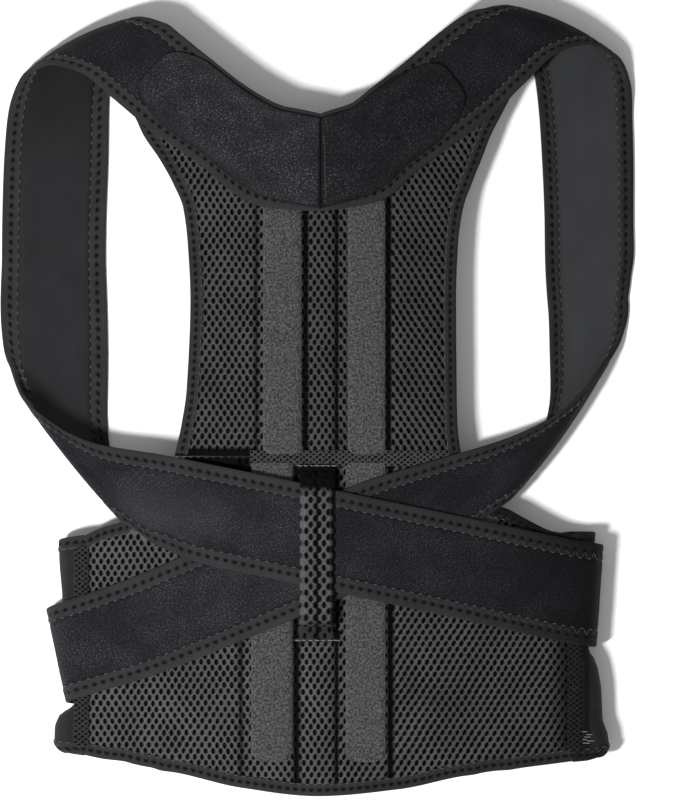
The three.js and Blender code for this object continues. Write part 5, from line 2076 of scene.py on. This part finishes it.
@dataclass
class SideWing:
    """Half of the elastic belt: from its seam with the waist panel round the side to the front."""

    side: Side
    seam: tuple[float, float, float]
    top_at_side: float
    hem_at_side: float
    silhouette: tuple[tuple[float, float], ...]
    fold: FoldLine
    front_mid: float
    fold_steps: int = 8
    front_steps: int = 4
    # How far from the seam, in millimetres, a valley's painted shade lies.
    valley: float = 8.5

    @property
    def inward(self) -> int:
        """Returns the sign of the direction toward the brace's middle."""
        return -self.side.value

    @property
    def steps(self) -> int:
        """Returns how many steps the belt's length is counted in."""
        return 1 + self.fold_steps + self.front_steps

    def side_line(self, y: Array) -> Array:
        """Returns the belt's side, pressed in where a strap wraps round it."""
        natural = columns(self.silhouette)[0](y / BRACE_LENGTH) * BRACE_WIDTH
        turn = math.radians(self.fold.turn)
        half = STRAP_WIDTH * self.fold.wide * abs(math.sin(turn)) / 2
        offset = y - self.fold.y * BRACE_LENGTH
        line = self.fold.x * BRACE_WIDTH + offset / math.tan(turn)
        inner = line + self.inward * (STRAP_THICKNESS / 2 + WRAP_GAP + WING_THICKNESS / 2)
        away = np.maximum(np.abs(offset) - half - WRAP_GAP / 2, 0)
        weight = np.maximum(1 - away / PRESSED_RISE, 0)
        pressed = np.maximum(natural, inner) if self.inward > 0 else np.minimum(natural, inner)
        return lerp(natural, pressed, weight)

    def edges(self, u: Array) -> tuple[Array, Array]:
        """Returns the belt's hem and top at a share of its length."""
        step = u * self.steps
        turned = np.clip(step / (1 + self.fold_steps / 2), 0, 1)
        front = np.clip((step - 1 - self.fold_steps) / self.front_steps, 0, 1)
        top = lerp(lerp(self.seam[1], self.top_at_side, turned), WING_FRONT_TOP, front)
        hem = lerp(lerp(self.seam[2], self.hem_at_side, turned), WING_FRONT_HEM, front)
        return hem * BRACE_LENGTH, top * BRACE_LENGTH

    def at(self, u: Array, y: Array) -> Array:
        """Returns points of the belt's middle surface for a share of its length and a height."""
        step = np.clip(u, 0, 1) * self.steps
        on_top = np.minimum(step, 1)
        on_fold = np.clip((step - 1) / self.fold_steps, 0, 1)
        on_front = np.maximum((step - 1 - self.fold_steps) / self.front_steps, 0)
        seam_x = self.seam[0] * BRACE_WIDTH - self.inward * EDGE_GAP
        side_x = self.side_line(y)
        radius = (PANEL_MID - self.front_mid) / 2
        top_depth = np.minimum(radius, np.abs(seam_x - side_x) - WING_THICKNESS)
        front_depth = (CROSS_MID - FLOOR_MID) / 2
        angle = math.pi * on_fold
        depth = np.where(angle < math.pi / 2, top_depth, front_depth)
        fold_x = side_x + self.inward * depth
        flat = lerp(seam_x, fold_x, on_top)
        height = self.front_mid + radius * (1 + np.cos(angle))
        front_end = self.inward * WING_OVERLAP / 2
        end = side_x + self.inward * front_depth
        turned_x = flat - self.inward * depth * np.sin(angle)
        x = np.where(on_front > 0, lerp(end, front_end, on_front), turned_x)
        z = np.where(on_front > 0, self.front_mid, height)
        return droop(np.stack(np.broadcast_arrays(x, y, z), -1))

    def place(self, u: Array, v: Array) -> Array:
        """Returns points for a share of the belt's length and a share of its height."""
        hem, top = self.edges(u)
        return self.at(u, lerp(hem, top, v))

    def build(self) -> None:
        """Makes and dresses the belt half and the tapes along its top and hem."""
        side_end = 1 + self.fold_steps
        fine = np.linspace(0, side_end, 6 * side_end + 1)
        front = side_end + np.linspace(0, self.front_steps, 33)[1:]
        us = np.concatenate([fine, front]) / self.steps
        vs = np.linspace(0, 1, 61)
        made = woven_shell(self.place, us, vs, 1e-4, even(WING_THICKNESS / 2))
        # Painted shade in a valley beside the seam, darker on the right half.
        from_seam = np.abs(made.points[:, 0] - ROW_SHIFT[0] - self.seam[0] * BRACE_WIDTH)
        made.depth = PAINTED_SHADE[self.side].belt_seam * bell(from_seam - self.valley, 2.4)
        word = self.side.word
        piece = made.piece(f"belt_{word}", Cloth.BELT_ELASTIC)
        settle(piece, "elastic", f"side_wing_{word}")
        trims = [part for edge in ("top", "hem") for part in self.tape(edge)]
        trims.append(self.seam_band())
        if self.side is Side.RIGHT:
            trims.append(self.bar_tack())
        middle = self.place(np.linspace(0, 1, 400), np.full(400, 0.5))
        length = np.linalg.norm(np.diff(middle, axis=0), axis=1).sum()
        hem, top = self.edges(np.array(0.3))

    def tape(self, edge: str) -> list[Object]:
        """Makes the tape along the belt's top or hem."""

        def point(u: Array, inward: Array) -> Array:
            """Returns points by a share of the belt's length and the distance in from its edge."""
            hem, top = self.edges(u)
            return self.at(u, top + 0.3 - inward if edge == "top" else hem - 0.3 + inward)

        line = EdgeLine(point, 0, 1, 4.0)
        tape = narrow_tape(line, 7.6, 4.0, 7.1, 0.4, PAINTED_SHADE[self.side].belt_tape)
        return sew(tape, f"belt_tape_{self.side.word}_{edge}", "elastic")

    def seam_band(self) -> Object:
        """Makes the overlocked band over the seam with the waist panel."""
        hem, top = self.edges(np.array(0.0))
        seam_x = self.seam[0] * BRACE_WIDTH
        us = np.array([-4.6, -4.2, -3.0, -1.0, 1.0, 3.0, 4.2, 4.6])
        vs = np.linspace(float(hem) + 6.0, float(top) - 6.0, 70)

        def place(u: Array, v: Array) -> Array:
            """Returns points of the band's middle."""
            x = seam_x - self.inward * 1.5 + u
            return flat_mount(x, v + 0 * x, 1.25 + 0.1 * wavy(u, v, 9.0))

        def half(u: Array, v: Array) -> Array:
            """Returns half the band's thickness."""
            return 0.2 + 0.45 * plump((4.6 - np.abs(u)) / 1.8)

        made = woven_shell(place, us, vs, 0.2, half)
        # Painted shade over the band, darker on the right half.
        made.depth = np.full(len(made.points), PAINTED_SHADE[self.side].side_overlock)
        return settle(made.piece(f"side_overlock_{self.side.word}", Cloth.OVERLOCK), "spacer_mesh")

    def bar_tack(self) -> Object:
        """Makes the short rows of stitches at the foot of the elastic."""
        rows = np.array(BAR_TACK_ROWS)

        def place(x: Array, y: Array) -> Array:
            """Returns points by the distance from the seam, in millimetres."""
            return self.at(x / TACK_REACH / self.steps, y)

        ends = np.repeat(rows[:, 2:] * BRACE_LENGTH, 2, axis=1)
        thread = running_stitches(place, rows[:, :2] * TACK_REACH, ends, WING_THICKNESS / 2, 0.22)
        return settle(thread.piece("belt_bar_tack", Cloth.BAR_TACK_THREAD), "elastic")


@dataclass
class HookPatch:
    """The hidden closure between the belt's overlapping ends."""

    width: float = 60.0
    height: float = 84.0

    def build(self) -> None:
        """Makes and dresses the patch."""
        middle = (WING_FRONT_TOP + WING_FRONT_HEM) / 2 * BRACE_LENGTH

        def place(u: Array, v: Array) -> Array:
            """Returns points of the patch's middle."""
            return droop(np.stack(np.broadcast_arrays(u, middle + v, HOOK_MID + 0 * u), -1))

        us = np.linspace(-self.width / 2, self.width / 2, 13)
        vs = np.linspace(-self.height / 2, self.height / 2, 17)
        shell = woven_shell(place, us, vs, 0.1, even(HOOK_THICKNESS / 2))
        piece = settle(shell.piece("closure_patch", Cloth.HOOK_PILE), "hook_pile", "hook_patch")


@dataclass
class Studio:
    """The pale tabletop, the soft light and the camera."""

    centre: tuple[float, float] = (0.0192, 0.0001)
    distance: float = 6.0
    frame_height: float = 0.480
    lamp_place: tuple[float, float, float] = (-0.74, -0.52, 1.52)
    lamp_size: tuple[float, float] = (0.14, 0.36)
    lamp_power: float = 39.5
    sky: float = 0.42

    def build(self) -> None:
        """Makes the tabletop, lights and camera."""
        bpy.ops.mesh.primitive_plane_add(size=8.0, location=(0, 0, 0))
        floor = bpy.context.object
        floor.name = "tabletop"
        floor.data.materials.append(FloorFinish((0.93, 0.93, 0.93)).paint("tabletop"))
        self.light()
        world = bpy.data.worlds.new("studio")
        world.use_nodes = True
        background = world.node_tree.nodes["Background"]
        background.inputs[0].default_value = (1, 1, 1, 1)
        background.inputs[1].default_value = self.sky
        bpy.context.scene.world = world
        bpy.context.scene.view_settings.view_transform = "Standard"
        data = bpy.data.cameras.new("camera")
        data.sensor_width = 36
        data.lens = 36 * (self.distance - PANEL_TOP / 2 * MM) / self.frame_height
        data.clip_end = 50
        camera = bpy.data.objects.new("camera", data)
        camera.location = (*self.centre, self.distance)
        bpy.context.scene.collection.objects.link(camera)
        bpy.context.scene.camera = camera

    def light(self) -> None:
        """Makes the soft lamp, which points at the brace."""
        data = bpy.data.lights.new("key", "AREA")
        data.shape = "RECTANGLE"
        data.size, data.size_y = self.lamp_size
        data.energy = self.lamp_power
        lamp = bpy.data.objects.new("key", data)
        lamp.location = self.lamp_place
        aim = Vector((*self.centre, 0.0)) - Vector(self.lamp_place)
        lamp.rotation_euler = aim.to_track_quat("-Z", "Y").to_euler()
        lamp.visible_camera = False
        bpy.context.scene.collection.objects.link(lamp)


def main() -> None:
    """Builds the brace, its setting and its camera."""
    logging.basicConfig(level=logging.INFO, format="%(name)s: %(message)s")
    for finish in Cloth:
        material(finish)
    UpperPanel().build()
    LumbarPanel().build()
    for side in Side:
        name = f"upper_pocket_{side.word}"
        StayPocket(name, UPPER_QUILTING, side, 0.4345, 0.755, "back_mesh", 3.0).build()
        name = f"lower_pocket_{side.word}"
        StayPocket(name, LUMBAR_QUILTING, side, 0.046, 0.424, "waist_mesh", 9.0).build()
    left = Strap(Side.LEFT, LEFT_ROUTE)
    right = Strap(Side.RIGHT, RIGHT_ROUTE)
    left.build()
    right.build()
    tabs = [YokeTab(left, 3.95), YokeTab(right, 3.9)]
    for tab in tabs:
        tab.build()
    YokeSeam(left, tabs[1]).build()
    Keeper().build()
    folds = (FoldLine(-0.411, 0.18, -78, 0.92), FoldLine(0.441, 0.2555, -94, 0.98))
    seams = (LUMBAR_OUTLINE[0], LUMBAR_OUTLINE[-1])
    SideWing(Side.LEFT, seams[0], 0.326, 0.0585, LEFT_SILHOUETTE, folds[0], LEFT_WING_MID).build()
    SideWing(Side.RIGHT, seams[1], 0.336, 0.054, RIGHT_SILHOUETTE, folds[1], RIGHT_WING_MID).build()
    HookPatch().build()
    Studio().build()


if __name__ == "__main__":
    main()
